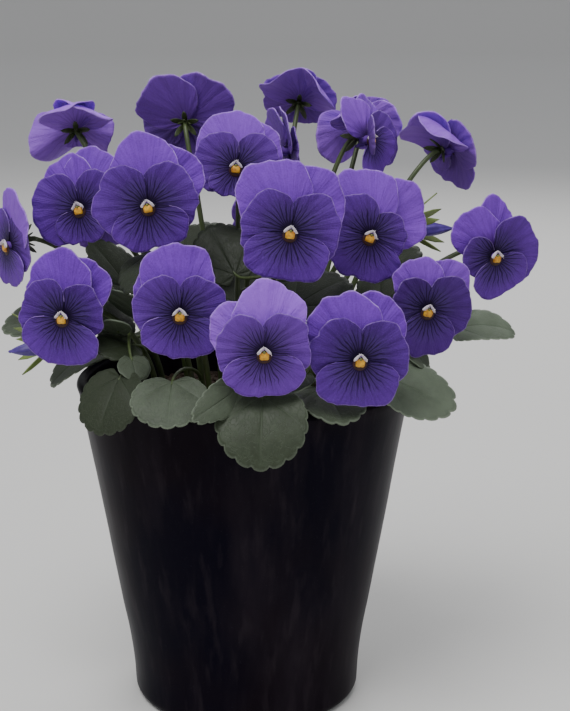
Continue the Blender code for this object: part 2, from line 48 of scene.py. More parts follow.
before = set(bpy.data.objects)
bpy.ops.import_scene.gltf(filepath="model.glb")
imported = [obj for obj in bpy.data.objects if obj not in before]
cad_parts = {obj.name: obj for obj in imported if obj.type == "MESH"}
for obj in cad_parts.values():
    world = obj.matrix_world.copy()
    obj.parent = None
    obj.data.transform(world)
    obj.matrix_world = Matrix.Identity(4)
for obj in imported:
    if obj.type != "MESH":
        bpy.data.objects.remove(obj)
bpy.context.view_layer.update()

MM = 0.001

# The pot: a straight taper above a short upright foot, with a rounded lip
POT_HEIGHT = 127.0
RIM_RADIUS = 63.6
FOOT_RADIUS = 44.0
FOOT_HEIGHT = 22.0
FOOT_FLARE = 1.6
KNEE_LENGTH = 14.0
KNEE_DIP = 0.5
BASE_EDGE = 4.0
BASE_FLAT = 20.0
BASE_STEPS = 8
WALL = 4.5
WALL_STEPS = 44
LIP_STEPS = 12
FLOOR = 7.0
FLOOR_ROUNDING = 3.0
POT_SIDES = 144

# The soil, which keeps a small gap from the pot
SOIL_TOP = 115.0
SOIL_CROWN = 1.6
SOIL_GAP = 0.4
SOIL_LEVELS = (20, 50, 80, 105, SOIL_TOP - 1)
SOIL_RINGS = 36
SOIL_SIDES = 96
CRUMB_DENSITY = 110000.0

# Stems and the leaves' stalks
STEM_RISE = 34.0
STEM_RADIUS = 1.1
STEM_STEPS = 26
STEM_DEPTH = 5.0
STEM_SEAT = 0.8
STEM_SWAY = 0.25
HOOK_BACK = 10.0
HOOK_RISE = 5.0
STALK_RADIUS = 0.75
STALK_STEPS = 14
STALK_LAP = (0, 1.4, -0.1)
TUBE_SIDES = 10

# The cup and sepals behind a bloom, on the bloom's own axes
CALYX_RADIUS = 1.6
CALYX_DEPTH = 1.35
CALYX_LIFT = 1.5
CALYX_BACK = -7.6
CALYX_FRONT = -4.95
SEPAL_TURNS = (90, 22, 158, -42, -138)
SEPAL_SEAT = 0.9
SEPAL_THICKNESS = 0.45
SEPAL_FAN = 0.9
BACK_LOBE = 2.8
# Sepals behind a bloom and round a bud: length, lean, curl and the place of their roots
SEPALS = {"bloom": (6.2, -0.56, -0.012, 0.0), "bud": (9.5, 0.90, 0.06, 1.5)}

# The throat's outside, the spur behind it and the beards in front, on the bloom's own axes
CORE_BACK = -4.6
CORE_FRONT = 0.2
CORE_RADII = (1.5, 1.7)
CORE_SIDES = 20
SPUR_START = (0.0, -1.35, -2.6)
SPUR_RUN = (0.0, 0.0, -5.4)
SPUR_DROP = (0.0, -0.5, 0.0)
SPUR_RADIUS = 1.0
SPUR_TAPER = 0.42
SPUR_STEPS = 8
BEARD_HAIRS = 44
BEARD_SLANT = math.radians(48)
HAIR_LENGTH = 0.55
HAIR_RADIUS = 0.09

# Petals, leaves and buds
PETAL_FAN = math.radians(87)
PETAL_SCALLOP = 0.15
PETAL_RUFFLE = 0.075
PETAL_COLUMNS = 37
PETAL_ROWS = 19
VEIN_SPACING = 0.21
LEAF_FAN = math.radians(122)
LEAF_RIBS = 3.6
LEAF_TOOTH = 0.047
LEAF_PUFF = 0.05
BUD_NECK = 0.55
BUD_SWELL = 2.1
BUD_STEPS = 24
BUD_SIDES = 40
MERGE_DISTANCE = 0.002 * MM

# Petals in units of a bloom's size: root, heading, length, roundness of the fan, shoulder,
# notch, depth in millimetres, lean, curl, cup, and the layer that sets its colour
PETALS = {
    "upper_left": ((0.03, 0.08), 124, 1.46, 0.86, 0.05, 0.0, -2.25, -0.14, -0.06, 0.02, 0.0),
    "upper_right": ((-0.03, 0.08), 56, 1.42, 0.86, 0.05, 0.0, -3.75, -0.20, -0.06, 0.02, 0.0),
    "side_left": ((-0.01, 0.04), 168, 1.02, 0.42, 0.10, 0.0, -0.95, -0.04, 0.0, -0.02, 1.0),
    "side_right": ((0.01, 0.04), 12, 1.02, 0.42, 0.10, 0.0, -1.35, -0.04, 0.0, -0.02, 1.0),
    "lower": ((0.0, -0.02), -90, 0.95, 0.36, 0.46, 0.05, 0.0, 0.03, -0.08, -0.04, 2.0),
}

# Blooms: eye at x, y, z, then yaw (0 faces the front, 90 the right), pitch, roll to the
# right, size, and the foot of the stem on the soil
BLOOMS = {
    "01": (-87.0, -8.0, 177.9, -58, 0, 4, 15.2, (-31, 4)),
    "02": (-59.5, -14.0, 192.3, -18, 8, -14, 15.6, (-19, -4)),
    "03": (-33.6, -30.0, 195.2, -6, 6, -10, 17.6, (-13, -12)),
    "04": (15.7, -50.0, 188.9, 4, 6, 8, 17.4, (6, -15)),
    "05": (-2.7, -8.0, 206.3, -4, 12, 4, 15.8, (-3, 3)),
    "06": (45.0, -26.0, 183.6, 6, 4, 22, 16.4, (18, -9)),
    "07": (94.1, -4.0, 172.3, 20, -4, 0, 16.2, (36, -1)),
    "08": (65.3, -34.0, 158.2, 8, -3, 12, 15.2, (34, -12)),
    "09": (-64.0, -38.0, 157.2, -16, 4, -2, 16.4, (-32, -15)),
    "10": (-21.8, -58.0, 162.3, -2, 2, 0, 15.8, (-15, -32)),
    "11": (6.5, -68.0, 151.0, 2, 0, -2, 15.8, (3, -34)),
    "12": (39.1, -62.0, 146.9, 6, 2, 4, 17.0, (22, -34)),
    "13": (-65.0, 37.0, 217.0, 184, 20, 0, 14.6, (-22, 14)),
    "14": (-21.8, 34.0, 219.6, 176, 14, 0, 17.0, (-9, 10)),
    "15": (23.0, 62.0, 226.0, 172, 24, -10, 14.8, (10, 24)),
    "16": (19.0, 18.0, 210.0, 104, 0, 0, 11.4, (0, 12)),
    "17": (48.2, 16.0, 214.4, 44, 12, -6, 13.4, (17, 5)),
    "18": (82.5, 34.0, 209.0, 124, 16, 6, 14.6, (32, 17)),
    "19": (45.5, 46.0, 217.0, 188, 10, 0, 14.4, (25, 9)),
    "20": (-58.0, 56.0, 181.0, 214, 4, 4, 15.0, (-22, 28)),
    "21": (12.0, 74.0, 171.0, 180, 6, -6, 16.0, (0, 36)),
    "22": (54.0, 62.0, 170.0, 150, 2, 6, 15.0, (24, 29)),
}

# Where a bloom's petal differs: change of heading, of length, and how much narrower it is
PETAL_CHANGES = {
    ("01", "upper_left"): (0, 0.80, 1.0),
    ("01", "upper_right"): (8, 1.05, 1.0),
    ("02", "upper_left"): (-6, 0.90, 1.0),
    ("02", "side_left"): (6, 1.20, 1.0),
    ("02", "lower"): (-4, 0.84, 1.3),
    ("03", "upper_left"): (-32, 0.98, 1.3),
    ("03", "upper_right"): (-16, 0.93, 1.0),
    ("03", "side_left"): (0, 1.08, 1.0),
    ("03", "lower"): (0, 0.90, 1.0),
    ("04", "side_left"): (0, 0.96, 1.0),
    ("05", "upper_left"): (-12, 0.90, 0.6),
    ("05", "upper_right"): (-6, 0.86, 0.9),
    ("05", "lower"): (0, 0.72, 1.2),
    ("06", "upper_right"): (-4, 1.06, 1.0),
    ("06", "side_right"): (0, 0.80, 1.0),
    ("07", "upper_left"): (10, 0.84, 1.3),
    ("07", "upper_right"): (22, 0.88, 2.2),
    ("07", "side_left"): (18, 0.78, 1.6),
    ("07", "side_right"): (-4, 1.15, 1.0),
    ("07", "lower"): (23, 1.0, 1.6),
    ("08", "upper_left"): (0, 0.80, 1.0),
    ("08", "upper_right"): (-8, 0.94, 1.2),
    ("08", "side_left"): (0, 0.86, 1.0),
    ("08", "side_right"): (0, 1.08, 1.0),
    ("08", "lower"): (14, 1.18, 3.2),
    ("09", "upper_left"): (-18, 0.94, 0.9),
    ("09", "upper_right"): (4, 0.88, 1.0),
    ("09", "side_right"): (0, 0.88, 1.0),
    ("09", "lower"): (-12, 1.08, 1.2),
    ("10", "upper_left"): (-26, 1.0, 0.9),
    ("10", "upper_right"): (80, 0.84, 1.2),
    ("11", "upper_left"): (-44, 0.97, 0.9),
    ("11", "upper_right"): (88, 0.88, 1.3),
    ("12", "upper_left"): (-2, 0.93, 0.9),
    ("12", "upper_right"): (4, 0.93, 1.0),
    ("13", "upper_left"): (-12, 1.0, 1.0),
    ("13", "upper_right"): (12, 1.0, 1.0),
    ("13", "side_right"): (-42, 1.36, 3.2),
    ("13", "side_left"): (36, 1.0, 2.2),
    ("13", "lower"): (0, 0.60, 1.0),
    ("14", "upper_left"): (6, 0.92, 1.0),
    ("14", "upper_right"): (-6, 0.92, 1.0),
    ("15", "upper_left"): (12, 1.04, 1.0),
    ("15", "lower"): (0, 0.74, 1.0),
    ("17", "upper_left"): (-24, 0.84, 1.2),
    ("17", "upper_right"): (-20, 1.10, 1.4),
    ("17", "side_left"): (0, 0.80, 1.0),
    ("17", "side_right"): (-22, 1.30, 1.6),
    ("17", "lower"): (34, 1.10, 1.3),
    ("18", "upper_left"): (0, 1.0, 1.0),
    ("18", "upper_right"): (0, 0.95, 1.0),
    ("18", "lower"): (26, 1.12, 1.4),
    ("19", "upper_left"): (48, 0.88, 1.6),
    ("19", "upper_right"): (-13, 0.80, 1.3),
    ("19", "side_right"): (-40, 1.40, 2.4),
    ("19", "lower"): (0, 0.70, 1.0),
}

# Petals that are folded: change of lean, change of cup, and degrees that they bend back
PETAL_FOLDS = {
    ("01", "upper_right"): (0.46, 0.0, 0),
    ("13", "upper_left"): (0.25, -0.1, 94),
    ("13", "upper_right"): (0.38, -0.1, 94),
    ("13", "side_right"): (0.0, 1.3, 20),
    ("13", "side_left"): (0.0, 1.0, 20),
    ("15", "upper_left"): (0.20, 0.0, 84),
    ("15", "upper_right"): (0.35, 0.0, 66),
    ("17", "side_left"): (1.25, 0.2, 0),
    ("18", "upper_left"): (0.25, 0.0, 94),
    ("18", "upper_right"): (0.42, 0.0, 92),
    ("19", "upper_left"): (0.20, 0.0, 52),
    ("19", "upper_right"): (0.42, 0.0, 92),
    ("19", "side_right"): (0.0, 0.3, 40),
}

# How much paler than the rest the petals of some blooms are: partly their own colour and partly
# painted light on petals that lie in shade. Below 0 only the upper ones are paler, and the
# others are darker
BLOOM_PALENESS_AND_LIGHT = {
    "01": 0.7,
    "02": 0.15,
    "03": 0.15,
    "04": 0.15,
    "05": 0.55,
    "06": 0.35,
    "07": 0.25,
    "08": -0.7,
    "10": 0.15,
    "11": 1.0,
    "12": -0.3,
    "13": 1.6,
    "15": 0.8,
    "17": 0.6,
    "18": 0.9,
    "19": 1.6,
}

# The eye's parts on a bloom's own axes: radii, centre, turn and finish
THROAT = {
    "ring": ((2.55, 2.35, 0.62), (0, -1.0, 0.18), 0, "ring"),
    "pad": ((1.85, 1.55, 0.95), (0, -0.62, 0.58), 0, "eye"),
    "stigma": ((0.5, 0.55, 0.5), (0, 0.75, 1.2), 0, "stigma"),
    "left_roof": ((1.75, 0.50, 0.5), (-1.15, 1.35, 1.0), BEARD_SLANT, "beard"),
    "right_roof": ((1.75, 0.50, 0.5), (1.15, 1.35, 1.0), -BEARD_SLANT, "beard"),
}

# Closed buds: the same values, with the length of the bud for its size
BUDS = {
    "01": (66.6, 4.0, 181.4, 80, 4, 0, 13.0, (25, -3)),
    "02": (-76.0, -16.0, 141.5, -80, -6, 0, 11.0, (-40, -4)),
}

# Leaves: the stem that carries each, how far up it, the blade's base, its azimuth (0 runs
# to the front, 90 to the right), elevation, roll, length, width share, bend, kind, and how
# pale it is, where below 0 is darker: painted shade on leaves deep in the foliage
LEAVES = (
    ("11", 0.22, (6.0, -61.0, 134.5), -4, -34, 0, 27.0, 1.05, 48, "broad", 0.1),
    ("11", 0.24, (-1.5, -59.5, 137.5), -48, -20, 58, 22.0, 0.55, 10, "pointed", 0.4),
    ("10", 0.18, (-25.0, -56.5, 138.5), -3, -30, 0, 20.0, 1.15, 14, "round", 0.42),
    ("09", 0.18, (-43.5, -45.0, 137.5), -36, -42, 0, 22.0, 1.05, 30, "round", -0.35),
    ("12", 0.20, (27.0, -42.0, 132.0), 18, -6, 0, 23.0, 1.05, 20, "broad", 0.2),
    ("08", 0.20, (50.0, -38.0, 135.0), 84, -20, -42, 28.0, 0.84, 12, "pointed", 1.0),
    ("07", 0.42, (79.0, -12.0, 147.0), 92, 12, -34, 24.0, 0.66, 46, "pointed", 1.0),
    ("09", 0.44, (-45.0, -30.0, 150.0), -12, 52, 0, 9.0, 1.0, 20, "round", 0.35),
    ("09", 0.40, (-40.0, -40.0, 143.0), 20, -30, 0, 10.0, 1.0, 20, "round", 0.35),
    ("12", 0.36, (20.5, -52.0, 139.5), -34, -14, 0, 10.0, 1.0, 20, "round", 0.4),
    ("08", 0.36, (60.0, -26.0, 143.0), 50, -34, 0, 10.0, 0.9, 20, "round", 0.35),
    ("02", 0.40, (-38.0, -12.0, 152.0), -50, 48, 0, 24.0, 1.0, 20, "round", 0.62),
    ("01", 0.40, (-66.0, 4.0, 148.0), -86, 4, 24, 26.0, 0.9, 24, "broad", 0.35),
    ("01", 0.16, (-53.0, -5.0, 138.0), -80, -14, 4, 24.0, 0.95, 36, "round", 0.2),
    ("13", 0.14, (-50.0, 26.0, 134.5), -118, -16, 0, 25.0, 0.95, 36, "broad", 0.3),
    ("20", 0.20, (-30.0, 50.0, 134.0), -150, -22, 0, 25.0, 1.0, 40, "round", 0.3),
    ("21", 0.20, (2.0, 59.0, 134.5), 180, -28, 0, 26.0, 1.0, 40, "broad", 0.3),
    ("22", 0.20, (32.0, 49.0, 133.5), 152, -22, 0, 25.0, 1.0, 40, "broad", 0.3),
    ("18", 0.14, (54.0, 26.0, 134.0), 116, -18, 0, 25.0, 0.95, 36, "round", 0.3),
    ("07", 0.18, (54.0, -4.0, 133.5), 94, -18, -8, 24.0, 0.95, 36, "broad", 0.3),
    ("04", 0.49, (-3.3, -13.6, 167.8), -141, 48, 35, 24.0, 0.8, 20, "round", -0.6),
    ("20", 0.33, (-46.4, 32.6, 154.1), -93, 59, 33, 24.0, 1.0, 20, "pointed", -0.6),
    ("11", 0.68, (17.9, -37.2, 160.4), 116, 31, -17, 23.0, 1.0, 20, "broad", -0.6),
    ("18", 0.35, (49.9, 18.8, 155.5), 93, 52, -27, 24.0, 1.0, 20, "broad", -0.6),
    ("16", 0.23, (-0.4, 25.6, 147.2), -168, 47, 4, 24.0, 1.0, 20, "broad", -0.6),
    # From here on: inner leaves, deep among the stems, that the solids leave out
    ("09", 0.29, (-46.9, -12.5, 144.2), -152, 51, -8, 18.0, 0.9, 20, "broad", -0.6),
    ("09", 0.26, (-40.2, -28.6, 145.0), -41, 10, 26, 16.0, 0.9, 20, "round", -0.6),
    ("20", 0.47, (-22.3, 33.2, 163.1), 122, 44, -23, 24.0, 1.0, 20, "round", -0.6),
    ("08", 0.37, (51.8, -2.8, 153.0), 180, 44, 20, 22.0, 0.8, 20, "round", -0.6),
    ("03", 0.53, (-32.7, -21.5, 177.8), -19, -19, -22, 24.0, 0.9, 20, "pointed", -0.6),
    ("05", 0.34, (12.7, 12.7, 160.2), 155, 49, 18, 24.0, 0.9, 20, "broad", -0.6),
)

# Kinds of leaf: how far the stalk's end lies inside the outline, and how far the tip is
# drawn out
LEAF_KINDS = {
    "round": (0.72, 0.0),
    "broad": (0.70, 0.10),
    "pointed": (0.62, 0.34),
}

# Leaves shorter than this have fewer teeth and a coarser sheet: columns, rows and teeth
SMALL_LEAF = 12
LEAF_SHEETS = {"small": (49, 9, 11), "large": (115, 15, 19)}

# Seeds of the petal tree say this where they say nothing else
PLAIN_SEED = {
    "shoulder": 0.0,
    "notch": 0.0,
    "point": 0.0,
    "bend": 0.0,
    "size": 1.0,
    "layer": 0.0,
    "tone": 0.0,
    "ruffle": 1.0,
}
# Every sepal's seed says this too
SEPAL_FORM = {"roundness": 9.0, "point": 0.18, "cup": 0.12}

# Colours that the settings leave alone
DEEP_VIOLET = (0.010, 0.002, 0.035, 1.0)
BRIGHT_VIOLET = (0.265, 0.076, 0.730, 1.0)
LIT_VIOLET = (0.450, 0.164, 0.950, 1.0)
THROAT_SHADE = (0.010, 0.002, 0.030, 1.0)
VEIN_SHADE = (0.004, 0.001, 0.014, 1.0)
BETWEEN_VEINS = (0.170, 0.100, 0.440, 1.0)
PETAL_REAR = (0.240, 0.115, 0.470, 1.0)
PALE_MARGIN_AND_RIM_LIGHT = (0.60, 0.38, 0.94, 1.0)
THROAT_RING = (0.038, 0.003, 0.003, 1.0)
EYE_GOLD = (0.95, 0.52, 0.03, 1.0)
STIGMA_GREEN = (0.22, 0.24, 0.05, 1.0)
BEARD_WHITE = (0.82, 0.77, 0.82, 1.0)
BEARD_SHADE = (0.62, 0.52, 0.62, 1.0)
BUD_VIOLET = (0.10, 0.05, 0.34, 1.0)
BUD_SHADE = (0.05, 0.02, 0.18, 1.0)
PALE_LEAF = (0.195, 0.238, 0.178, 1.0)
LEAF_MARGIN = (0.26, 0.31, 0.23, 1.0)
STEM_FLUSH = (0.045, 0.025, 0.03, 1.0)
STEM_STREAK = (0.130, 0.170, 0.055, 1.0)
GLAZE_BROWN = (0.0070, 0.0043, 0.0076, 1.0)
GLAZE_SOFT_REFLECTION = (0.016, 0.012, 0.017, 1.0)
GLAZE_FINE_REFLECTION = (0.030, 0.023, 0.029, 1.0)
GLAZE_SPECK = (0.05, 0.046, 0.06, 1.0)
SOIL_FIBRE = (0.075, 0.045, 0.028, 1.0)
SOIL_SHADOW = (0.004, 0.003, 0.002, 1.0)
SKY = (0.84, 0.86, 0.90, 1.0)

# The stage: the lights' places and sizes in metres, with their shares of the key's power,
# and the camera's place in metres and its dip and turn in degrees
LIGHTS = {
    "key": ((-0.35, -0.55, 1.35), 0.9, 1.0),
    "fill": ((1.1, -0.8, 0.7), 1.2, 0.16),
    "back": ((0.3, 1.1, 1.0), 1.0, 0.5),
}
LIGHT_TARGET = (0, 0, 0.14)
SKY_STRENGTH = 0.50
CAMERA_PLACE = (0.0, -0.555, 0.2683)
CAMERA_DIP = 13.6
CAMERA_TURN = 1.58478
CAMERA_SENSOR = 36.0
COVE_BEND = 0.2
FLOOR_STEPS = 12
COVE_STEPS = 16
FLOOR_SIDES = 96


# Node networks


class Wire:
    """A node's output socket that takes part in sums as a number does."""

    def __init__(self, net, socket):
        self.net = net
        self.socket = socket

    def math(self, operation, *others):
        """The result of a Math node on this number and others."""
        return self.net.add("ShaderNodeMath", {"operation": operation}, self, *others)

    def __add__(self, other):
        return self.math("ADD", other)

    __radd__ = __add__

    def __mul__(self, other):
        return self.math("MULTIPLY", other)

    __rmul__ = __mul__

    def __sub__(self, other):
        return self.math("SUBTRACT", other)

    def __rsub__(self, other):
        return self.net.add("ShaderNodeMath", {"operation": "SUBTRACT"}, other, self)

    def __truediv__(self, other):
        return self.math("DIVIDE", other)

    def __rtruediv__(self, other):
        return self.net.add("ShaderNodeMath", {"operation": "DIVIDE"}, other, self)

    def __pow__(self, other):
        return self.math("POWER", other)

    def __abs__(self):
        return self.math("ABSOLUTE")

    def clamped(self, low=0.0, high=1.0):
        """This number, kept between two."""
        return self.math("MAXIMUM", low).math("MINIMUM", high)

    def step(self, low, high):
        """0 below low and 1 above high, or the reverse where low is the higher, smoothly."""
        share = ((self - low) / (high - low)).clamped()
        return share * share * (3 - 2 * share)


class Net:
    """A node tree under construction."""

    def __init__(self, tree):
        self.tree = tree

    def add(self, kind, settings, *values, out=0, **named):
        """A node of this kind: its settings first, then its sockets in order or by name, with
        _ for a space. Returns the output with this number or name among those in use."""
        node = self.tree.nodes.new(kind)
        for key, value in settings.items():
            setattr(node, key, value)
        sockets = [socket for socket in node.inputs if socket.enabled]
        for socket, value in zip(sockets, values):
            self.plug(socket, value)
        for name, value in named.items():
            self.plug(self.named(sockets, name), value)
        outputs = [socket for socket in node.outputs if socket.enabled]
        found = outputs[out] if isinstance(out, int) else self.named(outputs, out)
        return Wire(self, found)

    @staticmethod
    def named(sockets, name):
        """The socket of this name, with _ for a space."""
        return next(socket for socket in sockets if socket.name == name.replace("_", " "))

    def plug(self, socket, value):
        """Links a wire to a socket, or sets the socket's own value."""
        if isinstance(value, Wire):
            self.tree.links.new(value.socket, socket)
        else:
            socket.default_value = value

    def mix(self, share, first, second):
        """A colour between two."""
        return self.add("ShaderNodeMix", {"data_type": "RGBA"}, share, first, second)

    def parts(self, vector):
        """The three numbers of a vector."""
        node = self.add("ShaderNodeSeparateXYZ", {}, vector).socket.node
        return [Wire(self, socket) for socket in node.outputs]

    def vector(self, x, y, z):
        """A vector from three numbers."""
        return self.add("ShaderNodeCombineXYZ", {}, x, y, z)

    def noise(self, place, scale, detail=2.0, roughness=0.5):
        """A soft random number, near a half, that varies with the place."""
        return self.add(
            "ShaderNodeTexNoise",
            {},
            Vector=place,
            Scale=scale,
            Detail=detail,
            Roughness=roughness,
        )

    def attribute(self, name):
        """A number that each point of the mesh carries, in a geometry tree."""
        return self.add("GeometryNodeInputNamedAttribute", {"data_type": "FLOAT"}, name)

    def store(self, geometry, name, value):
        """Geometry whose points carry a vector, for the materials to read."""
        settings = {"data_type": "FLOAT_VECTOR", "domain": "POINT"}
        kind = "GeometryNodeStoreNamedAttribute"
        return self.add(kind, settings, Geometry=geometry, Name=name, Value=value)

    def copies(self, points, shape, **named):
        """A copy of a shape on each point, as real geometry."""
        kind = "GeometryNodeInstanceOnPoints"
        instances = self.add(kind, {}, Points=points, Instance=shape, **named)
        return self.add("GeometryNodeRealizeInstances", {}, instances)

    def sheets(self, inputs):
        """A flat sheet on each seed, with where its points lie across it, from -1 to 1, and
        along it, from 0 to 1."""
        kind = "GeometryNodeMeshGrid"
        sheet = self.add(kind, {}, 2.0, 2.0, inputs["Columns"], inputs["Rows"])
        across, along, _ = self.parts(self.add("GeometryNodeInputPosition", {}))
        return self.copies(inputs["Geometry"], sheet), across, (along + 1) / 2

    def shaped(self, geometry, spot):
        """Sheets with their points moved to their spots and their pointed ends closed."""
        moved = self.add("GeometryNodeSetPosition", {}, Geometry=geometry, Position=spot)
        kind = "GeometryNodeMergeByDistance"
        return self.add(kind, {}, Geometry=moved, Distance=MERGE_DISTANCE)

    def smooth(self, geometry):
        """Geometry with smooth faces."""
        return self.add("GeometryNodeSetShadeSmooth", {}, Geometry=geometry, Shade_Smooth=True)


def new_tree(name, inputs):
    """A geometry tree with these inputs: (name, socket type, default), after its geometry.
    Returns its network and its input wires by name."""
    tree = bpy.data.node_groups.new(name, "GeometryNodeTree")
    face = tree.interface
    face.new_socket("Geometry", in_out="INPUT", socket_type="NodeSocketGeometry")
    for label, kind, default in inputs:
        socket = face.new_socket(label, in_out="INPUT", socket_type=kind)
        if default is not None:
            socket.default_value = default
    face.new_socket("Geometry", in_out="OUTPUT", socket_type="NodeSocketGeometry")
    net = Net(tree)
    entry = tree.nodes.new("NodeGroupInput")
    wires = {socket.name: Wire(net, socket) for socket in entry.outputs if socket.name}
    return net, wires


def finish_tree(net, geometry, material):
    """The tree, which ends by giving what it grew its material."""
    dressed = net.add("GeometryNodeSetMaterial", {}, Geometry=geometry, Material=material)
    leave = net.tree.nodes.new("NodeGroupOutput")
    net.tree.links.new(dressed.socket, leave.inputs[0])
    return net.tree


# Meshes and objects


def link(name, data):
    """An object in the scene that shows a mesh, a light or a camera."""
    obj = bpy.data.objects.new(name, data)
    bpy.context.scene.collection.objects.link(obj)
    return obj


def seed_mesh(name, seeds, edges=()):
    """A mesh of loose points, one for each seed: a place and its named numbers."""
    mesh = bpy.data.meshes.new(name)
    mesh.from_pydata([place for place, _ in seeds], list(edges), [])
    for label in seeds[0][1]:
        layer = mesh.attributes.new(label, "FLOAT", "POINT")
        layer.data.foreach_set("value", [float(numbers[label]) for _, numbers in seeds])
    return mesh


def evaluated(obj):
    """The plain mesh that an object's modifiers make. The object itself goes."""
    bpy.context.view_layer.update()
    graph = bpy.context.evaluated_depsgraph_get()
    mesh = bpy.data.meshes.new_from_object(obj.evaluated_get(graph))
    bpy.data.objects.remove(obj)
    return mesh


def run_tree(obj, tree, settings):
    """The plain mesh that a geometry tree makes of an object, with its inputs set by name."""
    growth = obj.modifiers.new("Growth", "NODES")
    growth.node_group = tree
    for item in tree.interface.items_tree:
        if item.item_type == "SOCKET" and item.in_out == "INPUT" and item.name in settings:
            growth[item.identifier] = settings[item.name]
    return evaluated(obj)


def grown(name, seeds, tree, settings, matrix, wall=0.0, backs=(), edges=()):
    """The object that a geometry tree grows from seeds, as a plain mesh put in its place. A
    wall gives a sheet its thickness, and backs are the materials of its rear side."""
    mesh = run_tree(link(name, seed_mesh(name, seeds, edges)), tree, settings)
    for label in seeds[0][1]:
        if label in mesh.attributes:
            mesh.attributes.remove(mesh.attributes[label])
    if wall:
        for material in backs:
            mesh.materials.append(material)
        sheet = link(name, mesh)
        solid = sheet.modifiers.new("Wall", "SOLIDIFY")
        solid.thickness = wall
        solid.offset = 0.0
        solid.material_offset = len(backs)
        mesh = evaluated(sheet)
    mesh.transform(matrix)
    return link(name, mesh)


def solid_object(name, shape, material, matrix):
    """A smooth object from a bmesh in millimetres."""
    mesh = bpy.data.meshes.new(name)
    shape.to_mesh(mesh)
    shape.free()
    mesh.transform(matrix @ Matrix.Scale(MM, 4))
    mesh.shade_smooth()
    mesh.materials.append(material)
    return link(name, mesh)


def joined(name, parts):
    """One object from several, which keep their materials."""
    first = parts[0]
    with bpy.context.temp_override(
        active_object=first, object=first, selected_editable_objects=parts, selected_objects=parts
    ):
        bpy.ops.object.join()
    first.name = name
    first.data.name = name
    return first


def settle(piece, node):
    """The piece stands for its node on the frame's only body."""
    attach(piece, "root")
    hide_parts(node)


def pointing(turn, rise):
    """A way that is turned from the front to the right and raised, both in radians."""
    return Vector(
        (math.sin(turn) * math.cos(rise), -math.cos(turn) * math.cos(rise), math.sin(rise))
    )


def facing(yaw, pitch, roll):
    """A bloom's axes as columns: its right, its up and the way that it faces."""
    turn, rise, tilt = (math.radians(angle) for angle in (yaw, pitch, roll))
    front = pointing(turn, rise)
    level = Vector((math.cos(turn), math.sin(turn), 0.0))
    upright = front.cross(level)
    up = upright * math.cos(tilt) + level * math.sin(tilt)
    right = level * math.cos(tilt) - upright * math.sin(tilt)
    return Matrix((right, up, front)).transposed()


def placed(spot, axes):
    """The matrix that puts a shape in metres at a spot in millimetres, along these axes."""
    return Matrix.Translation(Vector(spot) * MM) @ axes.to_4x4()


def bloom_matrix(place):
    """The matrix that puts a bloom or a bud where its row says."""
    return placed(place[:3], facing(*place[3:6]))


def leaf_axes(azimuth, elevation, roll):
    """A leaf's axes as columns: across, along its rib, and up from its upper face."""
    turn, rise, tilt = (math.radians(angle) for angle in (azimuth, elevation, roll))
    along = pointing(turn, rise)
    level = Vector((-math.cos(turn), -math.sin(turn), 0.0))
    upper = level.cross(along)
    across = level * math.cos(tilt) + upper * math.sin(tilt)
    return Matrix((across, along, across.cross(along))).transposed()


def bezier(start, start_pull, end_pull, end, share):
    """A point on the curve from start to end that the two pulls bend."""
    rest = 1 - share
    return (
        start * rest**3
        + start_pull * 3 * rest**2 * share
        + end_pull * 3 * rest * share**2
        + end * share**3
    )


def stem_point(place, share):
    """A point of the stem above the soil: it rises from its foot, and hooks over behind the
    bloom to meet the calyx from the back."""
    x, y, z, yaw, pitch, roll, _, foot = place
    axes = facing(yaw, pitch, roll)
    calyx = Vector((x, y, z)) + axes @ Vector((0, CALYX_LIFT, CALYX_BACK + STEM_SEAT))
    start = Vector((foot[0], foot[1], SOIL_TOP + SOIL_CROWN))
    behind = axes @ Vector((0, 0, -1))
    return bezier(
        start,
        start + Vector((0, 0, STEM_RISE)),
        calyx + behind * HOOK_BACK + Vector((0, 0, HOOK_RISE)),
        calyx,
        share,
    )


# Trees that grow the repeated parts


